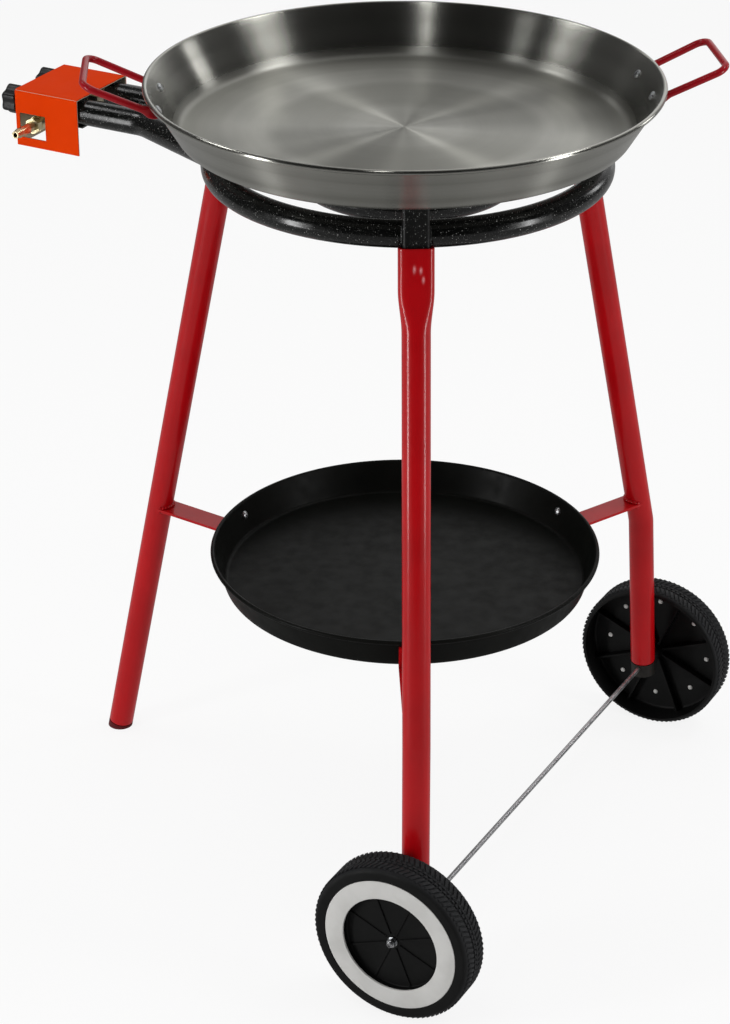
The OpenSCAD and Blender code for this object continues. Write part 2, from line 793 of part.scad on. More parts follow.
module along_x(l) rotate([90, 0, 90]) linear_extrude(height = l) children();

module control_cover() color(orange) at_controls() difference() {
    bottom_z = cover_top_z - cover_h;
    translate([cover_out_x - cover_l, 0, bottom_z]) along_x(cover_l)
        cover_section(cover_w, cover_h, cover_fold_r);
    translate([cover_out_x - cover_l - cut, 0, bottom_z - cut]) along_x(cover_l + cut - cover_t)
        cover_section(cover_w - 2 * cover_t, cover_h + cut - cover_t, cover_fold_r - cover_t);
    for (side = [-1, 1]) translate([0, side * feed_y, ring_z])
        x_rod(panel_in_x - cut, cover_out_x + cut, neck_d + 2 * slip_fit);
    translate([rail_x - cutout_w / 2, 0, rail_z - cutout_below]) cube([cutout_w, cover_w, cutout_h]);
}

module panel_nuts() color(steel) for (side = [-1, 1]) at_tube(side) difference() {
    x_hex(cover_out_x, panel_nut_x, panel_nut_flats);
    x_rod(cover_out_x - cut, panel_nut_x + cut, neck_d + 2 * slip_fit);
}

module valve_stem(side) color(steel) at_tube(side)
    x_rod(neck_end_x - stem_insert + end_play, knob_in_x + knob_socket, stem_d);

module valve_stem_near() valve_stem(1);

module valve_stem_far() valve_stem(-1);

lobe_d = 9;
knob_crown = 4;

module knob(side) color(black) at_tube(side) difference() {
    crown_r = (knob_d * knob_d / 4 + knob_crown * knob_crown) / (2 * knob_crown);
    intersection() {
        translate([knob_in_x, 0, 0]) along_x(knob_l + cut) {
            circle(d = knob_d - lobe_d / 2);
            for (i = [0 : knob_lobes - 1])
                rotate(i * 360 / knob_lobes) translate([(knob_d - lobe_d) / 2, 0]) circle(d = lobe_d);
        }
        translate([knob_out_x - crown_r, 0, 0]) sphere(r = crown_r);
    }
    x_rod(knob_in_x - cut, knob_in_x + knob_socket + weld_gap, stem_d + 2 * slip_fit);
}

module knob_near() knob(1);

module knob_far() knob(-1);

// Legs

module oval_section(w, t) {
    square([t, w - t], center = true);
    for (side = [-1, 1]) translate([0, side * (w - t) / 2]) circle(d = t);
}

// Flattened top of a leg, as a sleeve
module leg_sleeve() translate([0, 0, -leg_top_drop - leg_flat_l])
    linear_extrude(height = leg_flat_l) difference() {
        oval_section(leg_top_w, leg_top_t);
        oval_section(leg_top_w - 2 * leg_wall, leg_top_t - 2 * leg_wall);
    }

// Solid blend from the oval to the round, which runs on into both by the lap
module leg_blend(w, t, d, lap) hull() {
    translate([0, 0, -leg_top_drop - leg_flat_l])
        linear_extrude(height = lap) oval_section(w, t, $fn = hull_fn);
    translate([0, 0, -leg_round_l - lap]) cylinder(h = lap, d = d, $fn = hull_fn);
}

// Top of a leg, coped to the ring that it stands under
module leg_head(az) {
    inset = 2 * weld_gap;
    bore = 2 * leg_wall - inset;
    difference() {
        at_leg(az) leg_sleeve();
        at_axis() ring_solid(ring_r, ring_z, ring_tube_d + 2 * weld_gap);
    }
    at_leg(az) difference() {
        leg_blend(leg_top_w - inset, leg_top_t - inset, leg_od - inset, 2 * cut);
        leg_blend(leg_top_w - bore, leg_top_t - bore, leg_od - bore, 3 * cut);
    }
}

// A point on the upper leg's middle line, in the leg's own vertical plane
function leg_point(l) = [leg_axis_r + l * sin(leg_splay), 0, ring_z - l * cos(leg_splay)];

module leg_left() color(red) {
    leg_head(left_az);
    path = [leg_point(leg_round_l), leg_point(leg_floor_l - foot_cap_h)];
    at_az(left_az) bent_tube(path, leg_bend_r, leg_od, leg_id);
}

module wheel_leg(az) color(red) {
    leg_head(az);
    at_az(az) bent_tube([
        leg_point(leg_round_l),
        [leg_r(leg_bend_z), 0, leg_bend_z],
        [axle_leg_r - axle_to_tube * sin(leg_lower_lean), 0, axle_z + axle_to_tube * cos(leg_lower_lean)]
    ], leg_bend_r, leg_od, leg_id);
}

module leg_front() wheel_leg(front_az);

module leg_right() wheel_leg(right_az);

module foot_cap() color(black) difference() {
    at_leg(left_az) {
        translate([0, 0, -leg_floor_l - leg_od / 2]) cylinder(h = leg_od / 2 + foot_cap_h, d = leg_od);
        translate([0, 0, -leg_floor_l]) cylinder(h = foot_cap_h + plug_insert, d = leg_id - 2 * slip_fit);
    }
    translate([-big / 2, -big / 2, -big]) cube(big);
}

// Plug in the end of a wheel leg, cross bored for the axle, with a boss for the washer
module axle_plug(az, side) color(black) difference() {
    union() {
        at_lower_leg(az) {
            translate([0, 0, -plug_below]) cylinder(h = plug_below + axle_to_tube, d = leg_od);
            cylinder(h = axle_to_tube + plug_insert, d = leg_id - 2 * slip_fit);
        }
        at_axle(side) x_rod(axle_leg_s, boss_s, 2 * (axle_to_tube - cut / 2));
    }
    at_axle(side) x_rod(axle_leg_s - leg_od, boss_s + cut, axle_d + 2 * running_fit);
}

module axle_plug_front() axle_plug(front_az, "front");

module axle_plug_right() axle_plug(right_az, "right");

// Axle, washers and nuts

module axle_rod() color(steel) at_axle("right") x_rod(-axle_end_s, axle_end_s, axle_d);

module axle_washers() color(steel) for (side = ["front", "right"]) at_axle(side)
    for (s = [boss_s, hub_out_s + end_play]) difference() {
        x_rod(s, s + washer_t, washer_d);
        x_rod(s - cut, s + washer_t + cut, axle_d + 2 * running_fit);
    }

module axle_nuts() color(steel) for (side = ["front", "right"]) at_axle(side) difference() {
    s = hub_out_s + end_play + washer_t;
    x_hex(s, s + nut_h, nut_flats);
    x_rod(s - cut, s + nut_h + cut, axle_d + 2 * running_fit);
}

// Wheels: a moulded dish with tyre, web, hub and ribs, and a white ring staked through the web

stud_turn = 360 / stud_count;

// Half section of the moulded wheel: radius along x, outwards along the axle from its middle plane along y
module wheel_section() {
    r = wheel_d / 2;
    half = wheel_w / 2;
    s = tyre_shoulder_r;
    web_y = half - web_recess;
    seat_y = half - trim_t;
    rim_r = trim_od / 2 + weld_gap;
    translate([r - tyre_wall, -half + s]) square([tyre_wall, wheel_w - 2 * s]);
    translate([r - tyre_wall, -half]) square([tyre_wall - s, s]);
    translate([rim_r, half - s]) square([r - s - rim_r, s]);
    for (y = [-half + s, half - s]) translate([r - s, y]) circle(r = s);
    translate([rim_r, web_y - web_t]) square([r - s - rim_r, web_recess + web_t - s]);
    translate([hub_d / 2 - cut, web_y - web_t]) square([rim_r + 2 * cut - hub_d / 2, web_t]);
    for (seat_r = [trim_id / 2, trim_od / 2 - trim_seat_w])
        translate([seat_r, web_y - cut]) square([trim_seat_w, seat_y - web_y + cut]);
    translate([0, -half - hub_proud]) square([hub_d / 2, web_y + half + hub_proud]);
}

module wheel(side) color(black) at_axle(side) translate([wheel_s, 0, 0]) difference() {
    web_x = wheel_w / 2 - web_recess;
    union() {
        rotate([0, 90, 0]) rotate_extrude() wheel_section();
        for (i = [0 : stud_count - 1]) rotate([(i + 0.5) * stud_turn, 0, 0]) {
            translate([web_x - web_t - rib_h, -rib_t / 2, hub_d / 2 - cut])
                cube([rib_h + cut, rib_t, (wheel_d - hub_d) / 2 - tyre_wall + 2 * cut]);
            translate([web_x - cut, -rib_t / 2, hub_d / 2 - cut])
                cube([outer_rib_h + cut, rib_t, (trim_id - hub_d) / 2 + 2 * cut]);
        }
    }
    x_rod(-wheel_w, wheel_w, axle_d + 2 * running_fit);
    for (i = [0 : stud_count - 1]) rotate([i * stud_turn, 0, 0]) translate([0, 0, stud_circle_d / 2])
        x_rod(web_x - web_t - cut, web_x + cut, stud_d + 2 * slip_fit);
}

module wheel_front() wheel("front");

module wheel_right() wheel("right");

module trim_ring(side) color(white) at_axle(side) translate([wheel_s, 0, 0]) {
    web_x = wheel_w / 2 - web_recess;
    back_x = wheel_w / 2 - trim_t;
    rotate([0, 90, 0]) rotate_extrude()
        translate([trim_id / 2, back_x]) square([(trim_od - trim_id) / 2, trim_t]);
    for (i = [0 : stud_count - 1]) rotate([i * stud_turn, 0, 0]) translate([0, 0, stud_circle_d / 2]) {
        x_rod(web_x - web_t, back_x + trim_t / 2, stud_d);
        dome(web_x - web_t, stud_head_d, stud_head_h, -1);
    }
}

module trim_ring_front() trim_ring("front");

module trim_ring_right() trim_ring("right");

// Tray and its braces

module tray() color(black) difference() {
    at_axis() translate([0, 0, tray_z])
        dish(tray_rim_r, tray_depth, tray_lean, tray_corner_r, tray_wall, tray_bead_d);
    for (az = leg_azs) at_tray_wall(az) x_rod(-tray_wall - cut, cut, bolt_d + 2 * slip_fit);
}

// A point on the outer face of the tab, square to the tray wall
function tab_point(h, out) = [
    wall_r(tray_rim_r, tray_depth, tray_lean, h) + out * cos(tray_lean),
    tray_z + h - out * sin(tray_lean)
];

// Side outline of a strip that runs from the leg to the tray and turns up along its wall
module brace_section() {
    low = tray_corner_r / 2;
    leg_end = [leg_r(brace_leg_z), brace_leg_z];
    fold = tab_point(low, weld_gap + brace_t);
    drop = [0, -brace_t];
    polygon([
        leg_end,
        fold,
        tab_point(tab_h, weld_gap + brace_t),
        tab_point(tab_h, weld_gap),
        tab_point(low - brace_t, weld_gap),
        fold + drop,
        leg_end + drop
    ]);
}

module brace(az) color(red) difference() {
    at_az(az) rotate([90, 0, 0]) linear_extrude(height = brace_w, center = true) brace_section();
    at_leg(az) translate([0, 0, -leg_floor_l]) cylinder(h = leg_floor_l, d = leg_od + 2 * weld_gap);
    at_tray_wall(az) x_rod(-cut, brace_t + 2 * cut, bolt_d + 2 * slip_fit);
}

module brace_front() brace(front_az);

module brace_right() brace(right_az);

module brace_left() brace(left_az);

tray_nut_x = brace_t + 2 * weld_gap;

module tray_bolts() color(steel) for (az = leg_azs) at_tray_wall(az) {
    head_x = -tray_wall - weld_gap;
    x_rod(head_x, tray_nut_x + tray_nut_h + cut, bolt_d);
    dome(head_x, bolt_head_d, bolt_head_h, -1);
}

module tray_nuts() color(steel) for (az = leg_azs) at_tray_wall(az) difference() {
    x_hex(tray_nut_x, tray_nut_x + tray_nut_h, tray_nut_flats);
    x_rod(tray_nut_x - cut, tray_nut_x + tray_nut_h + cut, bolt_d + 2 * slip_fit);
}

pan_body();
pan_handle_left();
pan_handle_right();
handle_rivets();
outer_ring();
inner_ring();
outer_feed_tube();
inner_feed_tube();
bracket_front();
bracket_right();
bracket_left();
jet_strap_near();
jet_strap_far();
valve_body_near();
valve_body_far();
gas_jets();
gas_rail();
rail_plug();
hose_nozzle();
control_cover();
panel_nuts();
valve_stem_near();
valve_stem_far();
knob_near();
knob_far();
leg_left();
leg_front();
leg_right();
foot_cap();
axle_plug_front();
axle_plug_right();
brace_front();
brace_right();
brace_left();
tray();
tray_bolts();
tray_nuts();
axle_rod();
axle_washers();
axle_nuts();
wheel_front();
trim_ring_front();
wheel_right();
trim_ring_right();
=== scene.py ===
from math import asin, copysign, cos, degrees, exp, hypot, pi, radians, sin, sqrt, tan

import bmesh
import bpy
from mathutils import Matrix, Vector


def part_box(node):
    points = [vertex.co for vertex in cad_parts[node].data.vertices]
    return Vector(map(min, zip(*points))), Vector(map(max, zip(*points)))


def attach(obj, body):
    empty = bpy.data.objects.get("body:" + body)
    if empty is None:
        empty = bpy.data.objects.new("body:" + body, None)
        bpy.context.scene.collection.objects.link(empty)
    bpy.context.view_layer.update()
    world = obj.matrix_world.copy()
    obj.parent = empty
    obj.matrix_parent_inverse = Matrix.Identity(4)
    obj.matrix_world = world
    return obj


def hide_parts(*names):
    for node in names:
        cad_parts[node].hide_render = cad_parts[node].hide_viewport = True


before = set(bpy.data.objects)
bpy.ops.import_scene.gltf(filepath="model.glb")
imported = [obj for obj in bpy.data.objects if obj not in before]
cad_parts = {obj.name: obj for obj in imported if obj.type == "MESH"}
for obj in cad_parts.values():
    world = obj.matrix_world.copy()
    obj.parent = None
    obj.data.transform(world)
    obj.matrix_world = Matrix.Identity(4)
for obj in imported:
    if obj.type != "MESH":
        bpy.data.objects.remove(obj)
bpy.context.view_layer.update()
scene = bpy.context.scene
print("frame loaded:", len(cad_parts), "nodes")


# Places that the frame gives

def middle(node):
    low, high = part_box(node)
    return (low + high) / 2


def span(node):
    low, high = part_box(node)
    return high - low


def along(azimuth):
    a = radians(azimuth)
    return Vector((cos(a), sin(a), 0.0))


burner = middle("outer_ring")  # the burner's axis, at the ring's height
pan = middle("pan_body")  # the loose pan stands a little off it
tubeR = span("outer_ring").z / 2
ringR = span("outer_ring").x / 2 - tubeR
legAzimuths = {"left": 150, "front": -90, "right": 30}
axleWay = along(60)  # along the axle, from the front wheel to the right one


def burnerPoint(azimuth, radius, z, sideways=0.0, axis=burner):  # round the burner's axis, or another
    flat = along(azimuth) * radius + along(azimuth + 90) * sideways
    return Vector((axis.x + flat.x, axis.y + flat.y, z))


# Node helpers, for finishes and for Geometry Nodes alike

building = {}  # the tree that new nodes go into, and the finish that is being made


def link(value, socket):
    building["tree"].links.new(value, socket)


def put(kind, inputs=None, **settings):
    made = building["tree"].nodes.new(kind)
    for key, value in settings.items():
        setattr(made, key, value)
    for key, value in (inputs or {}).items():
        if isinstance(value, bpy.types.NodeSocket):
            link(value, made.inputs[key])
        else:
            made.inputs[key].default_value = value
    return made


def output(kind, inputs=None, **settings):
    return put(kind, inputs, **settings).outputs[0]


def rgb(red, green, blue):
    return (red, green, blue, 1.0)


def maths(operation, *values):
    return output("ShaderNodeMath", dict(enumerate(values)), operation=operation)


def vectors(operation, *values):
    made = put("ShaderNodeVectorMath", dict(enumerate(values)), operation=operation)
    return made.outputs["Value" if operation in ("LENGTH", "DOT_PRODUCT") else "Vector"]


def times(first, second):
    return maths("MULTIPLY", first, second)


def xyz(vector):
    return put("ShaderNodeSeparateXYZ", {0: vector}).outputs


def packed(x=0.0, y=0.0, z=0.0):
    return output("ShaderNodeCombineXYZ", {0: x, 1: y, 2: z})


def ranged(value, fromLow, fromHigh, toLow=0, toHigh=1):
    inputs = {0: value, 1: fromLow, 2: fromHigh, 3: toLow, 4: toHigh}
    return output("ShaderNodeMapRange", inputs)


def blended(share, first, second):
    return put("ShaderNodeMix", {0: share, 6: first, 7: second}, data_type="RGBA").outputs[2]


def objectPoint(centre=(0, 0, 0)):
    coords = put("ShaderNodeTexCoord").outputs["Object"]
    return output("ShaderNodeMapping", {0: coords, 1: centre}, vector_type="TEXTURE")


def clouds(at, scale, detail=2.0):
    return put("ShaderNodeTexNoise", {"Vector": at, "Scale": scale, "Detail": detail}).outputs["Fac"]


def streaks(run, scale, detail):  # noise along one length only
    inputs = {"W": run, "Scale": scale, "Detail": detail}
    return put("ShaderNodeTexNoise", inputs, noise_dimensions="1D").outputs["Fac"]


def bumped(height, distance):
    return output("ShaderNodeBump", {"Height": height, "Distance": distance, "Strength": 1.0})


def varied(at, scale, low, high, detail=2.0):  # a value that drifts between two levels
    return ranged(clouds(at, scale, detail), 0.3, 0.7, low, high)


def newFinish(name, constants):
    finish = bpy.data.materials.new(name)
    finish.use_nodes = True
    building.update(finish=finish, tree=finish.node_tree)
    for socket, value in constants.items():
        finish.node_tree.nodes["Principled BSDF"].inputs[socket].default_value = value


def dressed(colour, rough, normal, **more):
    shader = building["tree"].nodes["Principled BSDF"].inputs
    for socket, value in {"Base Color": colour, "Roughness": rough, "Normal": normal, **more}.items():
        link(value, shader[socket])
    return building["finish"]


# Finishes

steelLook = {
    "bright": rgb(0.44, 0.437, 0.40),
    "dull": rgb(0.33, 0.327, 0.295),
    "lineScale": 1500.0,  # turning marks to the metre
    "lineDepth": 0.000004,
    "bandScale": 70.0,
    "bandShare": 0.7,  # of the change in tone, the rest is the painted star highlight's rays
    "starHighlightScale": 2.6,  # the painted star highlight's rays keep their tone along each radius
    "stainScale": 11,
    "tone": (0.36, 0.62),
    "stained": (0.3, 0.5, 0.5, 1),
    "rough": (0.7, 1.3, 0.34, 0.38),
    "outer": (-0.3, -0.1, 0.72, 1),  # the outside faces down and is smoother
    "wall": (0.783, 0.790),  # the inner wall begins between these heights, and is smoother too
    "wallShare": 0.62,
    "squash": (1, 1, 0.6),  # marks lie further apart up the wall
}


def spunSteel(centre):
    look = steelLook
    newFinish("spun steel", {"Metallic": 1.0, "Anisotropic": 0.97, "Anisotropic Rotation": 0.25})
    at = objectPoint(centre)
    flat = vectors("MULTIPLY", at, (1, 1, 0))
    run = vectors("LENGTH", vectors("MULTIPLY", at, look["squash"]))
    lines = streaks(run, look["lineScale"], 3)
    bands = streaks(run, look["bandScale"], 2)
    # rays: a painted star highlight, with sectors round the middle lighter and darker
    rays = clouds(vectors("NORMALIZE", flat), look["starHighlightScale"], 1)
    stains = clouds(at, look["stainScale"], 4)
    bandShare = look["bandShare"]
    tone = maths("ADD", times(bands, bandShare), times(rays, 1 - bandShare))
    share = times(ranged(tone, *look["tone"]), ranged(stains, *look["stained"]))
    colour = blended(share, look["dull"], look["bright"])
    rough = ranged(maths("ADD", lines, stains), *look["rough"])
    facing = xyz(put("ShaderNodeNewGeometry").outputs["Normal"])[2]
    wall = times(ranged(xyz(at)[2], *look["wall"]), maths("GREATER_THAN", facing, 0.0))
    rough = times(rough, ranged(wall, 0, 1, 1, look["wallShare"]))
    rough = times(rough, ranged(facing, *look["outer"]))
    tangent = output("ShaderNodeTangent", direction_type="UV_MAP", uv_map="spin")
    return dressed(colour, rough, bumped(lines, look["lineDepth"]), Tangent=tangent)


paintLook = {
    "scuffAndGlint": rgb(0.90, 0.34, 0.36),  # pale scuffed paint with a painted glint, in a dent
    "thin": (0.35, 0.65),
    "specks": (0.72, 0.78, 0, 0.35),
    "peel": 0.00003,
}


def glossPaint(name, tone, shade, rough=0.28, coat=0.4, gloss=0.14, inside=None):
    newFinish(name, {"Coat Weight": coat, "Coat Roughness": 0.12, "Specular IOR Level": gloss})
    at = objectPoint()
    thin = ranged(clouds(at, 14, 3), *paintLook["thin"])
    specks = ranged(clouds(at, 900, 1), *paintLook["specks"])
    colour = blended(specks, blended(thin, shade, tone), shade)
    # dents show pale scuffed paint with a painted glint
    scuffAndGlint = put("ShaderNodeAttribute", attribute_name="scuffAndGlint").outputs["Fac"]
    colour = blended(scuffAndGlint, colour, paintLook["scuffAndGlint"])
    if inside:
        colour = blended(insideCover(), colour, inside)
    peel = bumped(clouds(at, 330), paintLook["peel"])
    return dressed(colour, varied(at, 45, rough, rough + 0.1), peel)


# planes within the cover's sheet, in the frame of the controls
coverInside = {"out": 0.42625, "side": 0.04525, "over": 0.01625}


def insideCover():  # 1 on the faces that look into the cover
    at = objectPoint(tuple(burner))
    out = vectors("DOT_PRODUCT", at, tuple(controlsWay))
    side = maths("ABSOLUTE", vectors("DOT_PRODUCT", at, tuple(nozzleWay)))
    within = 1.0
    for value, plane in ((out, "out"), (side, "side"), (xyz(at)[2], "over")):
        within = times(within, maths("LESS_THAN", value, coverInside[plane]))
    return within


enamelLook = {
    "ground": rgb(0.003, 0.0033, 0.003),
    "waves": 0.00008,
    "edge": (0, 0.04, 0, 0.9),
    "blue": 0.96,
    "layers": (  # cells to the metre, size, share left plain, level
        (1000.0, 0.30, 0.15, 0.11), (560.0, 0.26, 0.30, 0.36), (270.0, 0.15, 0.50, 0.55)),
}


def speckledEnamel(name, coat, low, high):
    newFinish(name, {"Coat Weight": coat, "Coat Roughness": 0.16, "Specular IOR Level": 0.3})
    at = objectPoint()
    colour = enamelLook["ground"]
    for scale, size, plain, level in enamelLook["layers"]:
        cells = put("ShaderNodeTexVoronoi", {"Vector": at, "Scale": scale})
        chance = output("ShaderNodeSeparateColor", {0: cells.outputs["Color"]})
        reach = ranged(chance, plain, 1, 0, size)
        edge = maths("SUBTRACT", reach, cells.outputs["Distance"])
        colour = blended(
            ranged(edge, *enamelLook["edge"]), colour, rgb(level, level, level * enamelLook["blue"]))
    waves = bumped(clouds(at, 260), enamelLook["waves"])
    return dressed(colour, varied(at, 60, low, high, 3), waves)


treadFrom, treadTo = 0.080, 0.0838  # the tyre greys between these distances from the axle, a painted highlight on the tread


def satinBlack(name, tone, worn, rough, grain, grainScale, tread=None, gloss=0.28):
    newFinish(name, {"Specular IOR Level": gloss})
    at = objectPoint()
    mottle = ranged(clouds(at, 24, 4), 0.38, 0.72)
    colour = blended(mottle, tone, worn)
    if tread:  # lighter grey over the tread, a painted highlight
        fromMiddle = objectPoint(tuple(middle("axle_rod")))
        fromAxle = vectors("CROSS_PRODUCT", fromMiddle, tuple(axleWay))
        share = ranged(vectors("LENGTH", fromAxle), treadFrom, treadTo)
        colour = blended(share, colour, tread)
    skin = bumped(clouds(at, grainScale), grain)
    return dressed(colour, varied(at, 70, rough - 0.05, rough + 0.08), skin)


markDepth = 0.00002


def turnedMetal(name, bright, dull, way, rough, lineScale=900.0):  # tool marks square to the way
    newFinish(name, {"Metallic": 1.0})
    at = objectPoint()
    lines = streaks(vectors("DOT_PRODUCT", at, tuple(way)), lineScale, 2)
    tarnish = ranged(clouds(at, 90, 3), 0.35, 0.65)
    worn = ranged(maths("ADD", lines, tarnish), 0.4, 1.5, rough - 0.08, rough + 0.1)
    return dressed(blended(tarnish, dull, bright), worn, bumped(lines, markDepth))


trimLook = {"clean": rgb(0.64, 0.635, 0.615), "dusty": rgb(0.57, 0.565, 0.545), "grain": 0.00003}


def trimPlastic():
    newFinish("trim plastic", {"Specular IOR Level": 0.4})
    at = objectPoint()
    dust = ranged(clouds(at, 38, 4), 0.4, 0.7)
    colour = blended(dust, trimLook["clean"], trimLook["dusty"])
    skin = bumped(clouds(at, 700), trimLook["grain"])
    return dressed(colour, varied(at, 120, 0.38, 0.52), skin)


controlsWay = along(legAzimuths["left"])
nozzleWay = along(legAzimuths["left"] + 90)
finishes = {
    "steel": spunSteel((pan.x, pan.y, 0)),
    "red": glossPaint("leg red", rgb(0.47, 0.002, 0.005), rgb(0.40, 0.0015, 0.004)),
    "handle": glossPaint(
        "handle red", rgb(0.34, 0.004, 0.010), rgb(0.27, 0.003, 0.007), rough=0.26, coat=0.3),
    # inside the cover: bare sheet, its beige tint a painted orange bounce light
    "orange": glossPaint(
        "cover orange", rgb(0.73, 0.046, 0.001), rgb(0.68, 0.040, 0.001), rough=0.6, coat=0.0, gloss=0.02,
        inside=rgb(0.46, 0.42, 0.32)),
    "enamel": speckledEnamel("speckled enamel", 0.3, 0.14, 0.30),
    "bracket": speckledEnamel("bracket enamel", 0.0, 0.45, 0.60),
    "tray": satinBlack(
        "tray black", rgb(0.0042, 0.0045, 0.0038), rgb(0.0056, 0.006, 0.005), 0.40, 0.00003, 700,
        gloss=0.08),
    "tyre": satinBlack(
        "wheel plastic", rgb(0.0030, 0.0032, 0.0030), rgb(0.0055, 0.0056, 0.0056), 0.58, 0.00005, 900,
        tread=rgb(0.017, 0.0175, 0.019), gloss=0.2),
    "knob": satinBlack(
        "knob plastic", rgb(0.008, 0.008, 0.0085), rgb(0.012, 0.012, 0.0125), 0.34, 0.00003, 800),
    "plug": satinBlack(
        "plug plastic", rgb(0.014, 0.012, 0.010), rgb(0.022, 0.020, 0.017), 0.5, 0.00005, 900),
    "foot": satinBlack(
        "foot rubber", rgb(0.085, 0.003, 0.004), rgb(0.13, 0.004, 0.005), 0.45, 0.00005, 900),
    "trim": trimPlastic(),
    "brass": turnedMetal("turned brass", rgb(0.80, 0.71, 0.46), rgb(0.66, 0.56, 0.33), nozzleWay, 0.3),
    "zinc": turnedMetal("zinc plate", rgb(0.62, 0.63, 0.64), rgb(0.48, 0.49, 0.50), axleWay, 0.32),
    "axle": turnedMetal("drawn rod", rgb(0.58, 0.58, 0.59), rgb(0.44, 0.44, 0.45), axleWay, 0.38, 120.0),
}
print("finishes made:", len(finishes))


# Mesh helpers

sharpAngle = radians(38)
weldGap = 1e-6  # points this close become one


def placed(name, data):
    made = bpy.data.objects.new(name, data)
    scene.collection.objects.link(made)
    return made


def addPiece(name, mesh, finish, body, standsFor=()):
    mesh.name = name
    mesh.materials.clear()
    mesh.materials.append(finishes[finish])
    mesh.shade_smooth()
    mesh.set_sharp_from_angle(angle=sharpAngle)
    piece = placed(name, mesh)
    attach(piece, body)
    if standsFor:
        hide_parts(*standsFor)


def written(work):
    mesh = bpy.data.meshes.new("work")
    work.to_mesh(mesh)
    work.free()
    return mesh


def toMesh(work, place=None):  # cleaned, and moved into place
    bmesh.ops.remove_doubles(work, verts=work.verts, dist=weldGap)
    bmesh.ops.recalc_face_normals(work, faces=work.faces)
    mesh = written(work)
    if place is not None:
        mesh.transform(place)
    return mesh


def joined(meshes):
    work = bmesh.new()
    for mesh in meshes:
        work.from_mesh(mesh)
        bpy.data.meshes.remove(mesh)
    return written(work)


def arc(centre, radius, start, stop, steps):  # points in the half section
    turns = [radians(start + (stop - start) * i / steps) for i in range(steps + 1)]
    return [(centre[0] + radius * cos(t), centre[1] + radius * sin(t)) for t in turns]


def turned(profile, steps, place=None, radiusAt=None, loop=False):  # revolved about Z, with a map round it
    work = bmesh.new()
    spin = work.loops.layers.uv.new("spin")
    rings = []
    for r, h in profile:
        ring = []
        for i in range(steps):
            turn = 2 * pi * i / steps
            reach = radiusAt(r, h, turn) if radiusAt else r
            ring.append(work.verts.new((reach * cos(turn), reach * sin(turn), h)))
        rings.append(ring)
    pairs = [(j, j + 1) for j in range(len(rings) - 1)]
    if loop:
        pairs.append((len(rings) - 1, 0))
    for row, (j, k) in enumerate(pairs):
        for i in range(steps):
            n = (i + 1) % steps
            face = work.faces.new((rings[j][i], rings[j][n], rings[k][n], rings[k][i]))
            corners = ((i, row), (i + 1, row), (i + 1, row + 1), (i, row + 1))
            for corner, (u, v) in zip(face.loops, corners):
                corner[spin].uv = (u / steps, v / len(pairs))
    return toMesh(work, place)


def skinned(work, rings):  # faces between the rings, and both ends filled
    for before, after in zip(rings, rings[1:]):
        for i in range(len(before)):
            n = (i + 1) % len(before)
            work.faces.new((before[i], before[n], after[n], after[i]))
    work.faces.new(rings[0])
    work.faces.new(rings[-1])
    return toMesh(work)


def ringAt(work, centre, way, toward, section):  # a section square to the way, its x turned toward
    side = (toward - way * toward.dot(way)).normalized()
    up = way.cross(side)
    return [work.verts.new(centre + side * x + up * y) for x, y in section]


def swept(path, sections, sideways):  # closed sections carried along a path
    work = bmesh.new()
    rings = []
    last = len(path) - 1
    for i, centre in enumerate(path):
        way = (path[min(i + 1, last)] - path[max(i - 1, 0)]).normalized()
        rings.append(ringAt(work, centre, way, sideways, sections[i]))
    return skinned(work, rings)


def roundedPath(corners, radius, arcSteps, spacing):
    path = [corners[0]]

    def runTo(point):
        start = path[-1]
        count = max(1, round((point - start).length / spacing))
        path.extend(start.lerp(point, i / count) for i in range(1, count + 1))

    for before, corner, after in zip(corners, corners[1:], corners[2:]):
        a = (corner - before).normalized()
        b = (after - corner).normalized()
        turn = a.angle(b)
        start = corner - a * radius * tan(turn / 2)
        centre = corner + (b - a).normalized() * radius / cos(turn / 2)
        runTo(start)
        for i in range(1, arcSteps + 1):
            path.append(centre + Matrix.Rotation(turn * i / arcSteps, 3, a.cross(b)) @ (start - centre))
    runTo(corners[-1])
    return path


def oval(width, depth, power, count):  # width along y, depth along x
    def part(value, size):
        return copysign(abs(value) ** (2 / power), value) * size / 2

    turns = [2 * pi * i / count for i in range(count)]
    return [(part(cos(t), depth), part(sin(t), width)) for t in turns]


def eased(value, low, high):
    t = min(1.0, max(0.0, (value - low) / (high - low)))
    return t * t * (3 - 2 * t)


# Geometry Nodes trees

socketKinds = {"Geometry": "Geometry", "Count": "Int", "Finish": "Material"}  # the rest are floats


def newTree(name, *labels):
    tree = building["tree"] = bpy.data.node_groups.new(name, "GeometryNodeTree")
    sockets = [(label, "INPUT") for label in ("Geometry", *labels, "Finish")]
    for label, way in (*sockets, ("Geometry", "OUTPUT")):
        kind = "NodeSocket" + socketKinds.get(label, "Float")
        tree.interface.new_socket(label, in_out=way, socket_type=kind)
    return put("NodeGroupInput").outputs


def endTree(geometry, finish):
    solid = output("GeometryNodeRealizeInstances", {"Geometry": geometry})
    smooth = output("GeometryNodeSetShadeSmooth", {"Geometry": solid})
    painted = output("GeometryNodeSetMaterial", {"Geometry": smooth, "Material": finish})
    put("NodeGroupOutput", {0: painted})
    return building["tree"]


def grown(tree, settings, start=None):  # runs a tree and keeps the plain mesh
    holder = placed("holder", start or bpy.data.meshes.new("start"))
    modifier = holder.modifiers.new("grow", "NODES")
    modifier.node_group = tree
    for socket in tree.interface.items_tree:
        if socket.in_out == "INPUT" and socket.name in settings:
            modifier[socket.identifier] = settings[socket.name]
    graph = bpy.context.evaluated_depsgraph_get()
    mesh = bpy.data.meshes.new_from_object(holder.evaluated_get(graph), depsgraph=graph)
    bpy.data.objects.remove(holder)
    return mesh


def turnBy(y=0.0, z=0.0):
    return output("FunctionNodeEulerToRotation", {0: packed(0.0, y, z)})


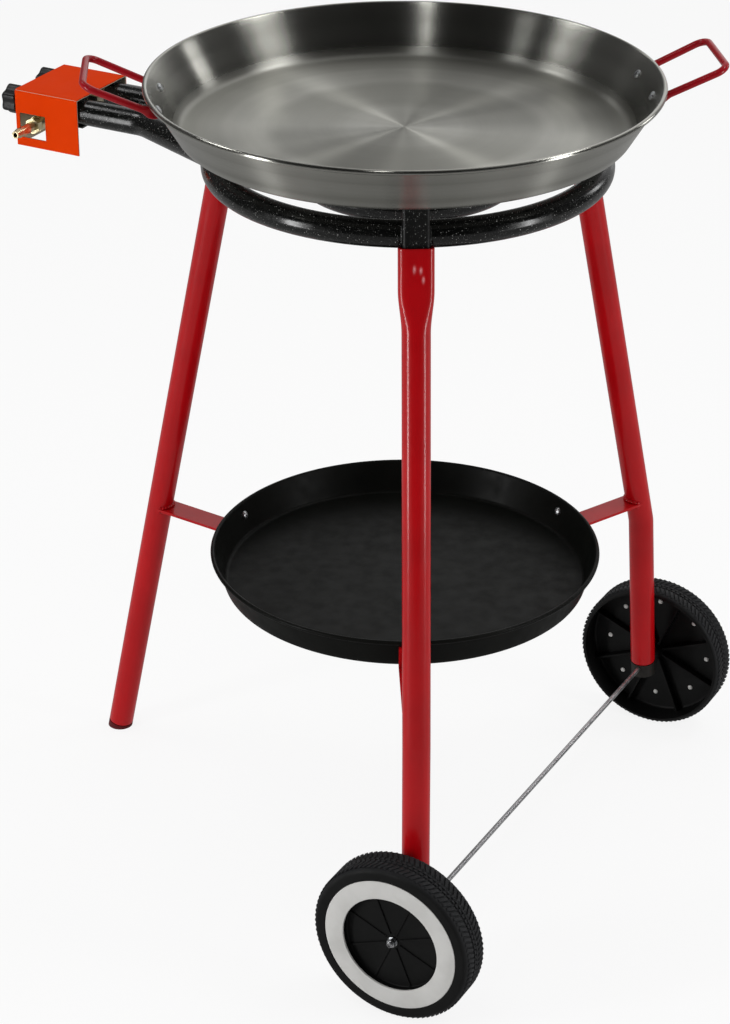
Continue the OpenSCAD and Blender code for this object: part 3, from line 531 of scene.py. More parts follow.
def blockRingTree():  # tapered blocks round a wheel's axis, slanted across it
    given = newTree(
        "block ring", "Radius", "Count", "Length", "Width", "Height", "Taper", "Slant", "Offset", "Phase")
    ring = output("GeometryNodeMeshCircle", {"Vertices": given["Count"], "Radius": given["Radius"]})
    top = times(given["Taper"], sqrt(0.5))
    block = output("GeometryNodeMeshCone", {
        "Vertices": 4, "Radius Top": top, "Radius Bottom": sqrt(0.5), "Depth": 1.0})
    squared = output("GeometryNodeTransform", {"Geometry": block, "Rotation": (0, 0, pi / 4)})
    size = packed(given["Length"], given["Width"], given["Height"])
    place = xyz(output("GeometryNodeInputPosition"))
    upright = turnBy(y=pi / 2, z=maths("ARCTAN2", place[1], place[0]))
    leaning = turnBy(z=given["Slant"])
    rotation = output("FunctionNodeRotateRotation", {0: upright, 1: leaning}, rotation_space="LOCAL")
    blocks = output("GeometryNodeInstanceOnPoints", {
        "Points": ring, "Instance": squared, "Rotation": rotation, "Scale": size})
    moved = output("GeometryNodeTransform", {
        "Geometry": blocks, "Translation": packed(z=given["Offset"]),
        "Rotation": turnBy(z=given["Phase"])})
    return endTree(moved, given["Finish"])


def domeTree():  # low heads on points, each along the point's own "facing"
    given = newTree("domed heads", "Radius", "Height", "Flat")
    ball = output("GeometryNodeMeshUVSphere", {"Segments": 28, "Rings": 16, "Radius": 1.0})
    at = xyz(output("GeometryNodeInputPosition"))
    level = maths("MAXIMUM", maths("MINIMUM", at[2], given["Flat"]), 0.0)
    cut = packed(at[0], at[1], level)
    head = output("GeometryNodeSetPosition", {"Geometry": ball, "Position": cut})
    size = packed(given["Radius"], given["Radius"], given["Height"])
    facing = output("GeometryNodeInputNamedAttribute", {"Name": "facing"}, data_type="FLOAT_VECTOR")
    rotation = output("FunctionNodeAlignRotationToVector", {"Vector": facing}, axis="Z")
    heads = output("GeometryNodeInstanceOnPoints", {
        "Points": given["Geometry"], "Instance": head, "Rotation": rotation, "Scale": size})
    return endTree(heads, given["Finish"])


beadLook = {"steps": 5.0, "lumps": 140.0, "least": 0.6}  # points to a ripple, lumps, thinnest share


def beadTree():  # a rippled weld bead along each line of edges
    given = newTree("weld bead", "Radius", "Pitch", "Ripple", "Wander")
    line = output("GeometryNodeMeshToCurve", {"Mesh": given["Geometry"]})
    step = maths("DIVIDE", given["Pitch"], beadLook["steps"])
    fine = output("GeometryNodeResampleCurve", {"Curve": line, "Length": step}, mode="LENGTH")
    run = put("GeometryNodeSplineParameter").outputs["Length"]
    turn = times(maths("DIVIDE", run, given["Pitch"]), pi)
    wave = maths("ABSOLUTE", maths("SINE", turn))
    lumps = put("ShaderNodeTexNoise", {"Scale": beadLook["lumps"], "Detail": 1.0}).outputs["Fac"]
    swell = maths("ADD", times(wave, given["Ripple"]), times(lumps, given["Wander"]))
    width = times(given["Radius"], maths("ADD", swell, beadLook["least"]))
    section = output("GeometryNodeCurvePrimitiveCircle", {"Resolution": 9, "Radius": 1.0})
    bead = output("GeometryNodeCurveToMesh", {
        "Curve": fine, "Profile Curve": section, "Scale": width, "Fill Caps": True})
    return endTree(bead, given["Finish"])


def threadTree():  # a ridge wound along Z
    given = newTree("screw thread", "Radius", "Turns", "Length", "Ridge")
    coil = output("GeometryNodeCurveSpiral", {
        "Resolution": 28, "Rotations": given["Turns"], "Start Radius": given["Radius"],
        "End Radius": given["Radius"], "Height": given["Length"]})
    section = output("GeometryNodeCurvePrimitiveCircle", {"Resolution": 4, "Radius": given["Ridge"]})
    ridge = output("GeometryNodeCurveToMesh", {
        "Curve": coil, "Profile Curve": section, "Fill Caps": True})
    return endTree(ridge, given["Finish"])


trees = {"blocks": blockRingTree(), "domes": domeTree(), "beads": beadTree(), "threads": threadTree()}


def pointsFacing(pairs):  # a start mesh for the domes
    mesh = bpy.data.meshes.new("points")
    mesh.from_pydata([p for p, way in pairs], [], [])
    facing = mesh.attributes.new("facing", "FLOAT_VECTOR", "POINT")
    for item, (p, way) in zip(facing.data, pairs):
        item.vector = way
    return mesh


def linesOf(paths):  # a start mesh for the beads
    points = []
    edges = []
    for path in paths:
        edges += [(len(points) + i, len(points) + i + 1) for i in range(len(path) - 1)]
        points += path
    mesh = bpy.data.meshes.new("lines")
    mesh.from_pydata(points, edges, [])
    return mesh


def domedHeads(shape, finish, pairs):
    return grown(trees["domes"], {
        "Radius": shape["radius"], "Height": shape["height"], "Flat": shape["flat"],
        "Finish": finishes[finish]}, pointsFacing(pairs))


print("trees built:", ", ".join(trees))


# Camera, floor and light

cameraLook = {
    "fromAxis": Vector((-0.10469, -2.57834, 1.70105)),  # from the foot of the burner's axis
    "tilt": 62.58,
    "turn": -1.41,
    "lens": 99.37,  # on a frame 36 mm high
}


def makeCamera():
    lens = bpy.data.cameras.new("camera")
    lens.sensor_fit = "VERTICAL"
    lens.sensor_height = 36.0
    lens.lens = cameraLook["lens"]
    camera = placed("camera", lens)
    camera.location = Vector((burner.x, burner.y, 0)) + cameraLook["fromAxis"]
    camera.rotation_euler = (radians(cameraLook["tilt"]), 0, radians(cameraLook["turn"]))
    scene.camera = camera


stageLook = {
    "floorSize": 9.0,
    "floorTone": rgb(0.86, 0.86, 0.86),
    "floorWhite": 0.86,  # share of plain white where the floor is seen
    "floorMirrored": 0.36,  # level of the floor in the metal
    "room": (0.07, 1.0),  # behind the camera, and the backdrop
    "mirrored": (0.015, 0.90),  # the same in the metal
    "edges": {  # directions where a part of the room begins and is full, and its levels there
        "back": (-0.35, 0.6, 0, 1), "low": (0.75, 0.3, 0.25, 1), "over": (0.15, 0.95, 0, 0.5),
        "high": (0.98, 0.75, 0.5, 1), "left": (-0.25, 0.05, 0.08, 1), "right": (0.4, 0.75, 1, 0.1)},
    "lamps": {  # place from the pan, size, watts
        "leftBack": (Vector((-1.55, 0.65, 1.70)), (0.8, 0.4), 6.0),
        "back": (Vector((-0.75, 2.00, 1.15)), (1.1, 0.2), 0.6),
        "rightBack": (Vector((1.99, 1.08, 0.40)), (0.4, 0.5), 3.0),
        "rightTop": (Vector((1.50, 0.20, 1.90)), (0.6, 0.5), 9.0),
        "frontTop": (Vector((-0.32, -0.95, 2.30)), (0.14, 0.8), 2.6),
        "leftStrip": (Vector((-2.05, -1.04, -0.10)), (0.35, 1.3), 23.0),
        "rightStrip": (Vector((2.05, -1.04, -0.10)), (0.35, 1.3), 16.0),
    },
}


def rays():  # where the camera looks, and where metal mirrors
    path = put("ShaderNodeLightPath").outputs
    return maths("MAXIMUM", path["Is Camera Ray"], path["Is Transmission Ray"]), path["Is Glossy Ray"]


def makeStage():
    half = stageLook["floorSize"] / 2
    mesh = bpy.data.meshes.new("floor")
    corners = [(x * half, y * half, 0) for x, y in ((-1, -1), (1, -1), (1, 1), (-1, 1))]
    mesh.from_pydata(corners, [], [(0, 1, 2, 3)])
    floor = placed("floor", mesh)
    newFinish("pale floor", {
        "Base Color": stageLook["floorTone"], "Roughness": 0.9, "Specular IOR Level": 0.1})
    seen, mirrored = rays()
    level = ranged(mirrored, 0, 1, 1, stageLook["floorMirrored"])
    white = output("ShaderNodeEmission", {"Strength": level})
    share = maths("MAXIMUM", times(seen, stageLook["floorWhite"]), mirrored)
    nodes = building["tree"].nodes
    plain = nodes["Principled BSDF"].outputs[0]
    mixed = output("ShaderNodeMixShader", {0: share, 1: plain, 2: white})
    link(mixed, nodes["Material Output"].inputs["Surface"])
    mesh.materials.append(building["finish"])


def makeLight():
    world = bpy.data.worlds.new("studio")
    scene.world = world
    world.use_nodes = True
    building["tree"] = world.node_tree
    x, y, z = xyz(put("ShaderNodeTexCoord").outputs["Generated"])
    edges = stageLook["edges"]
    back = ranged(y, *edges["back"])  # the white backdrop stands behind
    low = ranged(z, *edges["low"])  # and ends below the ceiling
    level = ranged(times(back, low), 0, 1, *stageLook["room"])
    level = maths("ADD", level, ranged(z, *edges["over"]))  # light from above, which no metal mirrors
    high = ranged(z, *edges["high"])  # in the metal the backdrop goes higher, and is narrow
    left = ranged(x, *edges["left"])
    right = ranged(x, *edges["right"])
    share = times(times(back, high), times(left, right))
    seen, mirrored = rays()
    level = ranged(mirrored, 0, 1, level, ranged(share, 0, 1, *stageLook["mirrored"]))
    room = output("ShaderNodeCombineColor", {0: level, 1: level, 2: level})
    link(blended(seen, room, rgb(1, 1, 1)), world.node_tree.nodes["Background"].inputs["Color"])
    for name, (offset, size, watts) in stageLook["lamps"].items():
        lamp = bpy.data.lights.new(name, "AREA")
        lamp.shape = "RECTANGLE"
        lamp.size, lamp.size_y = size
        lamp.energy = watts
        light = placed(name, lamp)
        light.location = pan + offset
        light.rotation_euler = (-offset).to_track_quat("-Z", "Y").to_euler()


makeCamera()
makeStage()
makeLight()
scene.view_settings.view_transform = "Standard"
print("camera, floor and light set")


# Dishes: the pan and the tray

rimCurl = -152  # where the rolled rim meets the wall's outside, round its own section


def dishProfile(dish, rimR, depth):  # from the underside's middle round the rim to the floor's middle
    lean = dish["lean"]
    slope = radians(lean)
    corner = dish["corner"]
    beadR = dish["bead"] / 2
    bead = (rimR - beadR, depth - beadR)
    wallDrop = depth - corner + corner * sin(slope)
    knee = (bead[0] - corner * cos(slope) - wallDrop * tan(slope), corner)
    floor = [knee[0] * i / dish["floorSteps"] for i in range(dish["floorSteps"])]
    outside = [(r, 0.0) for r in floor] + arc(knee, corner, -90, -lean, 8)
    rim = arc(bead, beadR, rimCurl, 180 - lean, 26)
    inside = arc(knee, corner - dish["wall"], -lean, -90, 8)
    top = [(r, dish["wall"] + dish["crown"] * (1 - (r / knee[0]) ** 2)) for r in reversed(floor)]
    steps = dish["wallSteps"]
    walls = []
    for start, stop in ((outside[-1], rim[0]), (rim[-1], inside[0])):
        walls.append([
            tuple(a + (b - a) * i / steps for a, b in zip(start, stop)) for i in range(1, steps)])
    return outside + walls[0] + rim + walls[1] + inside + top


panShape = {"lean": 31.0, "corner": 0.010, "wall": 0.0015, "bead": 0.005, "crown": 0.0006,
            "floorSteps": 24, "wallSteps": 8, "round": 288}
trayShape = {"lean": 19.0, "corner": 0.006, "wall": 0.0012, "bead": 0.0045, "crown": 0.0,
             "floorSteps": 12, "wallSteps": 6, "round": 224}


def makeDish(name, node, dish, finish, body):
    low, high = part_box(node)
    profile = dishProfile(dish, (high.x - low.x) / 2, high.z - low.z)
    place = Matrix.Translation((middle(node).x, middle(node).y, low.z))
    addPiece(name, turned(profile, dish["round"], place), finish, body, (node,))


makeDish("spun_pan", "pan_body", panShape, "steel", "pan")
makeDish("pressed_tray", "tray", trayShape, "tray", "stand")
print("dishes turned")


# Pan handles: rods with flattened, riveted ends

handleShape = {
    "rod": 0.007, "reach": 0.054, "rise": 0.012, "grip": 0.090, "corner": 0.012,
    "padSpacing": 0.074, "padLength": 0.021, "padWidth": 0.012, "padThick": 0.004,
    "rivetRise": 0.033, "gap": 0.0001, "elbow": 0.007,
    "tailWidth": 0.0002, "blend": 0.7, "squarer": 1.6,  # the flat end's tip, run-out and section
    "elbowStep": 0.0015, "gripStep": 0.012, "cornerRoom": 1.2,
    "azimuths": {"left": 181, "right": 6},
    "round": 28,
}


def wallFrame(dish, node, azimuth, rise):  # point on the outer wall, its outward normal and the way up it
    low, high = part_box(node)
    lean = radians(dish["lean"])
    radius = (high.x - low.x) / 2 - dish["bead"] / 2 - (high.z - low.z - rise) * tan(lean)
    out = along(azimuth)
    point = burnerPoint(azimuth, radius, low.z + rise, axis=middle(node))
    normal = out * cos(lean) - Vector((0, 0, sin(lean)))
    upWall = out * sin(lean) + Vector((0, 0, cos(lean)))
    return point, normal, upWall


def padTurn():  # half the angle between a handle's two ends
    rim = span("pan_body").x / 2 - panShape["bead"] / 2
    drop = span("pan_body").z - handleShape["rivetRise"]
    radius = rim - drop * tan(radians(panShape["lean"]))
    return degrees(asin(handleShape["padSpacing"] / 2 / radius))


def handlePad(azimuth, side):
    turn = azimuth + side * padTurn()
    point, normal, upWall = wallFrame(panShape, "pan_body", turn, handleShape["rivetRise"])
    return point, normal, upWall, along(turn + 90) * side


def makeHandle(side, azimuth):
    shape = handleShape
    gripR = span("pan_body").x / 2 + shape["reach"]
    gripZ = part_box("pan_body")[1].z + shape["rise"]
    gripAt = [burnerPoint(azimuth, gripR, gripZ, end * shape["grip"] / 2, pan) for end in (1, -1)]
    padHalf = shape["padLength"] / 2
    room = shape["corner"] * shape["cornerRoom"]
    halves = []
    ups = []
    for end, grip in zip((1, -1), gripAt):
        point, normal, upWall, sideWay = handlePad(azimuth, end)
        seat = point + normal * (shape["gap"] + shape["padThick"] / 2)
        corners = [seat - sideWay * padHalf, seat + sideWay * (padHalf - shape["rod"]), grip]
        half = roundedPath(corners, shape["elbow"], 10, shape["elbowStep"])
        halves.append([p for p in half if (p - grip).length > room])
        ups.append(upWall)
    first, second = halves[0], halves[1][::-1]
    bends = roundedPath([first[-1], *gripAt, second[0]], shape["corner"], 14, shape["gripStep"])
    path = first + bends[1:-1] + second
    runs = [0.0]
    for a, b in zip(path, path[1:]):
        runs.append(runs[-1] + (b - a).length)
    sections = [handleSection(min(run, runs[-1] - run)) for run in runs]
    mesh = swept(path, sections, (ups[0] + ups[1]).normalized())
    addPiece("handle_rod_" + side, mesh, "handle", "pan", ("pan_handle_" + side,))


def handleSection(run):  # flat from the rounded tail, then round
    shape = handleShape
    half = shape["padWidth"] / 2
    tip = max(0.0, half - run)
    rod, end = shape["rod"], shape["padLength"]
    share = eased(run, end - rod, end + rod * shape["blend"])
    wide = 2 * sqrt(max(0.0, half * half - tip * tip)) + shape["tailWidth"]
    width = wide + (rod - wide) * share
    depth = shape["padThick"] + (rod - shape["padThick"]) * share
    return oval(depth, width, 2 + shape["squarer"] * (1 - share), shape["round"])


for handleSide, handleAzimuth in handleShape["azimuths"].items():
    makeHandle(handleSide, handleAzimuth)

rivetShape = {"radius": 0.0045, "height": 0.0026, "flat": 0.82, "fromMiddle": 0.0045, "sunk": 0.0002}


def makeRivets():
    pairs = []
    for azimuth in handleShape["azimuths"].values():
        for side in (1, -1):
            point, normal, _, sideWay = handlePad(azimuth, side)
            spot = point - sideWay * rivetShape["fromMiddle"]
            outer = handleShape["padThick"] + 2 * handleShape["gap"] - rivetShape["sunk"]
            pairs.append((spot + normal * outer, normal))
            pairs.append((spot - normal * (panShape["wall"] - rivetShape["sunk"]), -normal))
    mesh = domedHeads(rivetShape, "zinc", pairs)
    addPiece("rivet_heads", mesh, "zinc", "pan", ("handle_rivets",))


makeRivets()
print("handles and rivets made")


# Legs: crimped oval on the brackets, round below, with dents where the front one was struck

legShape = {
    "tube": 0.0269, "wall": 0.0015, "splay": 12.4, "offset": 0.0013,
    "topDrop": 0.0070, "topWidth": 0.0335, "topDepth": 0.020, "ovalPower": 3.2,
    "flat": 0.043, "blendLead": 0.004, "blend": 0.036, "topStep": 0.0007, "topRings": 132, "step": 0.05,
    "bendZ": 0.271, "bendR": 0.060, "lowerLean": 4.0, "toAxle": 0.005, "footCap": 0.006,
    "lip": 0.0007, "endRound": 0.0022, "inside": 0.050, "round": 72,
}
legDents = {  # down the leg, across it, depth, half width and half length
    "front": (
        (0.0260, 0.0020, 0.0009, 0.0012, 0.0034), (0.0270, -0.0040, 0.0009, 0.0012, 0.0030),
        (0.0355, -0.0062, 0.0009, 0.0012, 0.0030)),
}
dentFall = 1.6  # how steeply a dent fades
scuffAndGlintDepth = 0.0008  # a dent this deep shows the pale scuff and painted glint all over


def legRadius(z):
    return ringR + tubeR + legShape["offset"] + (burner.z - z) * tan(radians(legShape["splay"]))


def legSection(run, count, grow=0.0):  # run is the distance down the leg from the ring's height
    shape = legShape
    start = shape["topDrop"] + shape["flat"]
    share = eased(run, start - shape["blendLead"], start + shape["blend"])
    tops = (shape["topWidth"], shape["topDepth"])
    width, depth = (top + (shape["tube"] - top) * share + 2 * grow for top in tops)
    return oval(width, depth, shape["ovalPower"] + (2 - shape["ovalPower"]) * share, count)


def dented(section, run, dents):  # the section with its dents, and how much scuff and painted glint each point gets
    moved = []
    scuffAndGlintShares = []
    for x, y in section:
        depth = 0.0
        for dentRun, dentY, dentDepth, wide, long in dents:
            if x > 0:
                apart = ((run - dentRun) / long) ** 2 + ((y - dentY) / wide) ** 2
                depth += dentDepth * exp(-apart * dentFall)
        moved.append((x - depth, y))
        scuffAndGlintShares.append(min(1.0, depth / scuffAndGlintDepth))
    return moved, scuffAndGlintShares


def makeLeg(side):
    shape = legShape
    azimuth = legAzimuths[side]
    slope = radians(shape["splay"])
    dents = legDents.get(side, ())
    count = shape["round"] * (2 if dents else 1)

    def legPoint(run):
        reach = legRadius(burner.z) + run * sin(slope)
        return burnerPoint(azimuth, reach, burner.z - run * cos(slope))

    topRuns = [shape["topDrop"] + shape["topStep"] * i for i in range(shape["topRings"])]
    corners = [legPoint(topRuns[-1])]
    if side == "left":
        corners.append(legPoint(burner.z / cos(slope) - shape["footCap"]))
    else:
        bendZ, toAxle = shape["bendZ"], shape["toAxle"]
        lean = radians(shape["lowerLean"])
        axleZ = middle("axle_rod").z
        axleR = legRadius(bendZ) + (bendZ - axleZ) * tan(lean)
        corners.append(burnerPoint(azimuth, legRadius(bendZ), bendZ))
        corners.append(burnerPoint(
            azimuth, axleR - toAxle * sin(lean), axleZ + toAxle * cos(lean)))
    below = roundedPath(corners, shape["bendR"], 10, shape["step"])[1:]
    top, lip, wall = shape["topDrop"], shape["lip"], shape["wall"]
    rows = [  # up the inner wall
        (legPoint(top + depth), legSection(top, count, -wall))
        for depth in (shape["inside"], shape["inside"] * 0.5, lip)]
    for turn in range(0, 181, 30):  # over the top lip
        t = radians(turn)
        rows.append((legPoint(top + lip - lip * sin(t)), legSection(top, count, -wall / 2 * (1 + cos(t)))))
    marks = {}
    for run in topRuns[1:]:
        section, marks[len(rows)] = dented(legSection(run, count), run, dents)
        rows.append((legPoint(run), section))
    plain = oval(shape["tube"], shape["tube"], 2, count)
    lastWay = (below[-1] - below[-2]).normalized()
    rows += [(point, plain) for point in below[:-1]]
    for turn in range(0, 91, 18):  # round the lower end
        t = radians(turn)
        size = shape["tube"] - 2 * shape["endRound"] * (1 - cos(t))
        rows.append((below[-1] - lastWay * shape["endRound"] * (1 - sin(t)), oval(size, size, 2, count)))
    mesh = sweptLeg(rows, marks, azimuth)
    addPiece("painted_leg_" + side, mesh, "red", "stand", ("leg_" + side,))


lipRows = 10  # the rows of the mouth, which take the way of those below it
lookAhead = 0.0004  # a row's way is taken over at least this drop


def sweptLeg(rows, marks, azimuth):  # every section lies square to the leg there
    path = [point for point, _ in rows]
    ways = []
    for i in range(len(path)):
        ahead = next((p for p in path[i + 1:] if (p - path[i]).z < -lookAhead), None)
        ways.append((ahead - path[i]).normalized() if ahead else ways[-1])
    ways[:lipRows] = [ways[lipRows + 2]] * lipRows
    work = bmesh.new()
    scuffAndGlint = work.verts.layers.float.new("scuffAndGlint")
    rings = []
    for i, (point, section) in enumerate(rows):
        rings.append(ringAt(work, point, ways[i], along(azimuth), section))
        for corner, mark in zip(rings[-1], marks.get(i, ())):
            corner[scuffAndGlint] = mark
    return skinned(work, rings)


for legSide in legAzimuths:
    makeLeg(legSide)
print("legs swept")


# Wheels: moulded dish, tread, ribs and a staked trim ring

wheelShape = {
    "radius": 0.084, "width": 0.038, "shoulder": 0.005, "treadDepth": 0.0009, "tyreWall": 0.005,
    "web": 0.003, "recess": 0.008, "hub": 0.009, "hubProud": 0.0005, "bore": 0.00255,
    "trimIn": 0.051, "trimOut": 0.0705, "trimThick": 0.002, "trimSeat": 0.003,
    "soft": 0.0008, "fillet": 0.003, "trimGap": 0.0001, "trimLip": 0.0022, "trimEdge": 0.0005,
    "treadCount": 92, "treadTaper": 0.78, "treadFlat": 0.35, "studCircle": 0.059, "studs": 8, "round": 192,
}
studShape = {"radius": 0.00275, "height": 0.0016, "flat": 0.9}
ribShape = {"into": 0.001, "low": 0.0012, "deep": 0.009, "thick": 0.0024, "soft": 0.0004, "softSteps": 2}
treadRows = (  # length across the tyre, width, offset, slant, phase in pitches
    (0.0118, 0.0037, 0.0098, 0.5, 0.0),
    (0.0118, 0.0037, -0.0098, -0.5, 0.5),
    (0.0030, 0.0044, 0.0019, 0.0, 0.3),
    (0.0030, 0.0044, -0.0019, 0.0, 0.8),
)


def wheelProfile():  # radius and height, out along the axle; a closed loop
    w = wheelShape
    half = w["width"] / 2
    r = w["radius"] - w["treadDepth"]
    s = w["shoulder"]
    web = half - w["recess"]
    under = web - w["web"]
    soft, fillet, hub = w["soft"], w["fillet"], w["hub"]
    hubEnd = -half - w["hubProud"]
    inner = w["radius"] - w["tyreWall"]
    seatIn, seatOut, seat = w["trimIn"], w["trimOut"], w["trimSeat"]
    ring = half - w["trimThick"]
    flat = half * w["treadFlat"]
    return [
        (w["bore"], web), (w["bore"], hubEnd), (hub - soft, hubEnd),
        *arc((hub - soft, hubEnd + soft), soft, -90, 0, 3)[1:],
        (hub, under - fillet),
        *arc((hub + fillet, under - fillet), fillet, 180, 90, 4)[1:],  # under the web
        *arc((inner - fillet, under - fillet), fillet, 90, 0, 4),
        (inner, -half + soft),
        *arc((inner + soft, -half + soft), soft, 180, 270, 3)[1:],
        *arc((r - s, -half + s), s, -90, 0, 7),
        (r, -flat), (r, flat),
        *arc((r - s, half - s), s, 0, 90, 7),
        (seatOut + w["trimLip"], half),
        *arc((seatOut + w["trimGap"] + soft, half - soft), soft, 90, 180, 4),
        (seatOut + w["trimGap"], ring), (seatOut - seat, ring), (seatOut - seat, web),
        (seatIn + seat, web), (seatIn + seat, ring), (seatIn, ring),
        (seatIn, web + soft), (seatIn - soft, web),
    ]


def facingAlong(way):  # lays Z along a level way, with X upright
    up = Vector((0, 0, 1))
    return Matrix((up, up.cross(way), way)).transposed().to_4x4()


def wheelPlace(node, outward):
    return Matrix.Translation(middle(node)) @ facingAlong(outward)


def webRibs():  # low ribs on the face and deep ones behind, from hub to rim
    w = wheelShape
    into = ribShape["into"]
    face = w["width"] / 2 - w["recess"]
    back = face - w["web"]
    start = w["hub"] - into
    rows = (
        (w["trimIn"] + into, face - into, face + ribShape["low"]),
        (w["radius"] - w["tyreWall"] + into, back - ribShape["deep"], back + into),
    )
    work = bmesh.new()
    for i in range(w["studs"]):
        turn = Matrix.Rotation(2 * pi * (i + 0.5) / w["studs"], 4, "Z")
        for end, low, high in rows:
            size = Matrix.Diagonal((end - start, ribShape["thick"], high - low, 1))
            at = Matrix.Translation(((start + end) / 2, 0, (low + high) / 2))
            block = bmesh.ops.create_cube(work, size=1, matrix=turn @ at @ size)
            edges = list({e for v in block["verts"] for e in v.link_edges})
            bmesh.ops.bevel(
                work, geom=edges, offset=ribShape["soft"], segments=ribShape["softSteps"], affect="EDGES")
    return written(work)


def treadBlocks():
    w = wheelShape
    count = w["treadCount"]
    return [grown(trees["blocks"], {
        "Radius": w["radius"] - w["treadDepth"] / 2, "Count": count, "Length": length, "Width": width,
        "Height": w["treadDepth"], "Taper": w["treadTaper"], "Slant": slant, "Offset": offset,
        "Phase": phase * 2 * pi / count, "Finish": finishes["tyre"]})
        for length, width, offset, slant, phase in treadRows]


def makeWheel(side, outward):
    w = wheelShape
    node = "wheel_" + side
    place = wheelPlace(node, outward)
    mesh = joined([turned(wheelProfile(), w["round"], loop=True), webRibs()] + treadBlocks())
    mesh.transform(place)
    addPiece("moulded_wheel_" + side, mesh, "tyre", node, (node,))
    half = w["width"] / 2
    edge = w["trimEdge"]
    back = half - w["trimThick"]
    profile = [
        (w["trimIn"], back), (w["trimOut"], back),
        *arc((w["trimOut"] - edge, half - edge), edge, 0, 90, 3),
        *arc((w["trimIn"] + edge, half - edge), edge, 90, 180, 3)]
    web = half - w["recess"] - w["web"]
    turns = [2 * pi * i / w["studs"] for i in range(w["studs"])]
    circle = w["studCircle"]
    inward = Vector((0, 0, -1))
    spots = [(Vector((circle * cos(t), circle * sin(t), web)), inward) for t in turns]
    mesh = joined([turned(profile, w["round"], loop=True), domedHeads(studShape, "trim", spots)])
    mesh.transform(place)
    addPiece("trim_disc_" + side, mesh, "trim", node, ("trim_ring_" + side,))


makeWheel("front", -axleWay)
makeWheel("right", axleWay)
print("wheels moulded")


# Knobs

knobShape = {
    "radius": 0.0155, "length": 0.018, "edge": 0.003, "crown": 0.0016, "skirt": 0.0012, "round": 144,
    "lobes": 6, "dip": 0.0025, "dipPower": 0.8, "fade": (0.35, 0.8),
    "sideRings": (0.25, 0.45, 0.65), "capRings": (0.8, 0.6, 0.4, 0.2, 0.0),
}


def knobRadius(r, h, turn):  # lobes fade out towards the middle of the cap
    k = knobShape
    dip = k["dip"] * (0.5 - 0.5 * cos(k["lobes"] * turn)) ** k["dipPower"]
    return r - dip * eased(r, *(k["radius"] * share for share in k["fade"]))


def makeKnob(side):
    k = knobShape
    node = "knob_" + side
    radius, length, edge, crown, skirt = (k[x] for x in ("radius", "length", "edge", "crown", "skirt"))
    cap = radius - edge
    profile = [
        (0.0, 0.0), (radius - skirt, 0.0),
        *arc((radius - skirt, skirt), skirt, -90, 0, 4)[1:],
        *((radius, length * share) for share in k["sideRings"]),
        *arc((cap, length - edge - crown), edge, 0, 80, 7),
        *((cap * share, length - crown * share ** 2) for share in k["capRings"])]
    place = wheelPlace(node, controlsWay) @ Matrix.Translation((0, 0, -length / 2))
    mesh = turned(profile, k["round"], place, knobRadius)
    addPiece("lobed_" + node, mesh, "knob", node, (node,))


makeKnob("near")
makeKnob("far")
print("knobs made")


# Welds, painted over with what they join

weldShape = {"Ripple": 0.3, "Wander": 0.4}
burnerWeld = {"Radius": 0.0015, "Pitch": 0.0026}
bracketSeam = {"half": 0.0126, "start": -45, "sweep": 95, "steps": 12}  # round the ring's section
braceWeld = {"Radius": 0.0021, "Pitch": 0.003}
braceSeam = {"reach": 0.0128 * 0.92, "heights": (0.2995, 0.2955), "off": 1.01, "steps": 6}
feedShape = {"spacing": 0.060, "mouth": 0.362, "straight": 0.080, "joinTurn": 25.0, "dip": 0.028}
seamReach, seamHalvings = 3.0, 40  # how far back a seam is sought, in tube radii, and how finely


def controlsPoint(out, side, z):  # in the frame of the controls
    return burnerPoint(legAzimuths["left"], out, z, side)


def copeSeam(end, way, radius, ringZ, steps=40):  # where a tube along the way runs into a ring
    side = way.orthogonal().normalized()
    up = way.cross(side)

    def gap(p):
        flat = hypot(p.x - burner.x, p.y - burner.y) - radius
        return hypot(flat, p.z - ringZ) - tubeR

    seam = []
    for i in range(steps + 1):
        turn = 2 * pi * i / steps
        foot = end + (side * cos(turn) + up * sin(turn)) * tubeR
        far, near = tubeR * seamReach, 0.0
        for _ in range(seamHalvings):
            half = (far + near) / 2
            if gap(foot - way * half) > 0:
                far = half
            else:
                near = half
        seam.append(foot - way * far)
    return seam


def bracketSeams(azimuth):  # up the ring's outer face on both sides of a bracket
    half, steps = bracketSeam["half"], bracketSeam["steps"]
    turns = [radians(bracketSeam["start"] + bracketSeam["sweep"] * i / steps) for i in range(steps + 1)]
    rows = [(sqrt((ringR + tubeR * cos(t)) ** 2 - half ** 2), burner.z + tubeR * sin(t)) for t in turns]
    return [[burnerPoint(azimuth, reach, z, side * half) for reach, z in rows] for side in (-1, 1)]


def layBeads(name, seams, weld, finish):
    mesh = grown(trees["beads"], {**weldShape, **weld, "Finish": finishes[finish]}, linesOf(seams))
    addPiece(name, mesh, finish, "stand")


def makeBurnerWelds():
    f = feedShape
    innerZ = middle("inner_ring").z
    innerR = span("inner_ring").x / 2 - tubeR
    half = f["spacing"] / 2
    turn = radians(f["joinTurn"])
    join = controlsPoint(ringR * cos(turn), ringR * sin(turn), burner.z)
    bend = controlsPoint(f["mouth"] - f["straight"], half, burner.z)
    seams = [copeSeam(join, (join - bend).normalized(), ringR, burner.z)]
    crossing = sqrt(ringR ** 2 - half ** 2) - f["dip"]
    under = controlsPoint(crossing, -half, burner.z - 2 * tubeR)
    join = controlsPoint(sqrt(innerR ** 2 - half ** 2), -half, innerZ)
    seams.append(copeSeam(join, (join - under).normalized(), innerR, innerZ))
    for azimuth in legAzimuths.values():
        seams += bracketSeams(azimuth)
    layBeads("burner_welds", seams, burnerWeld, "enamel")


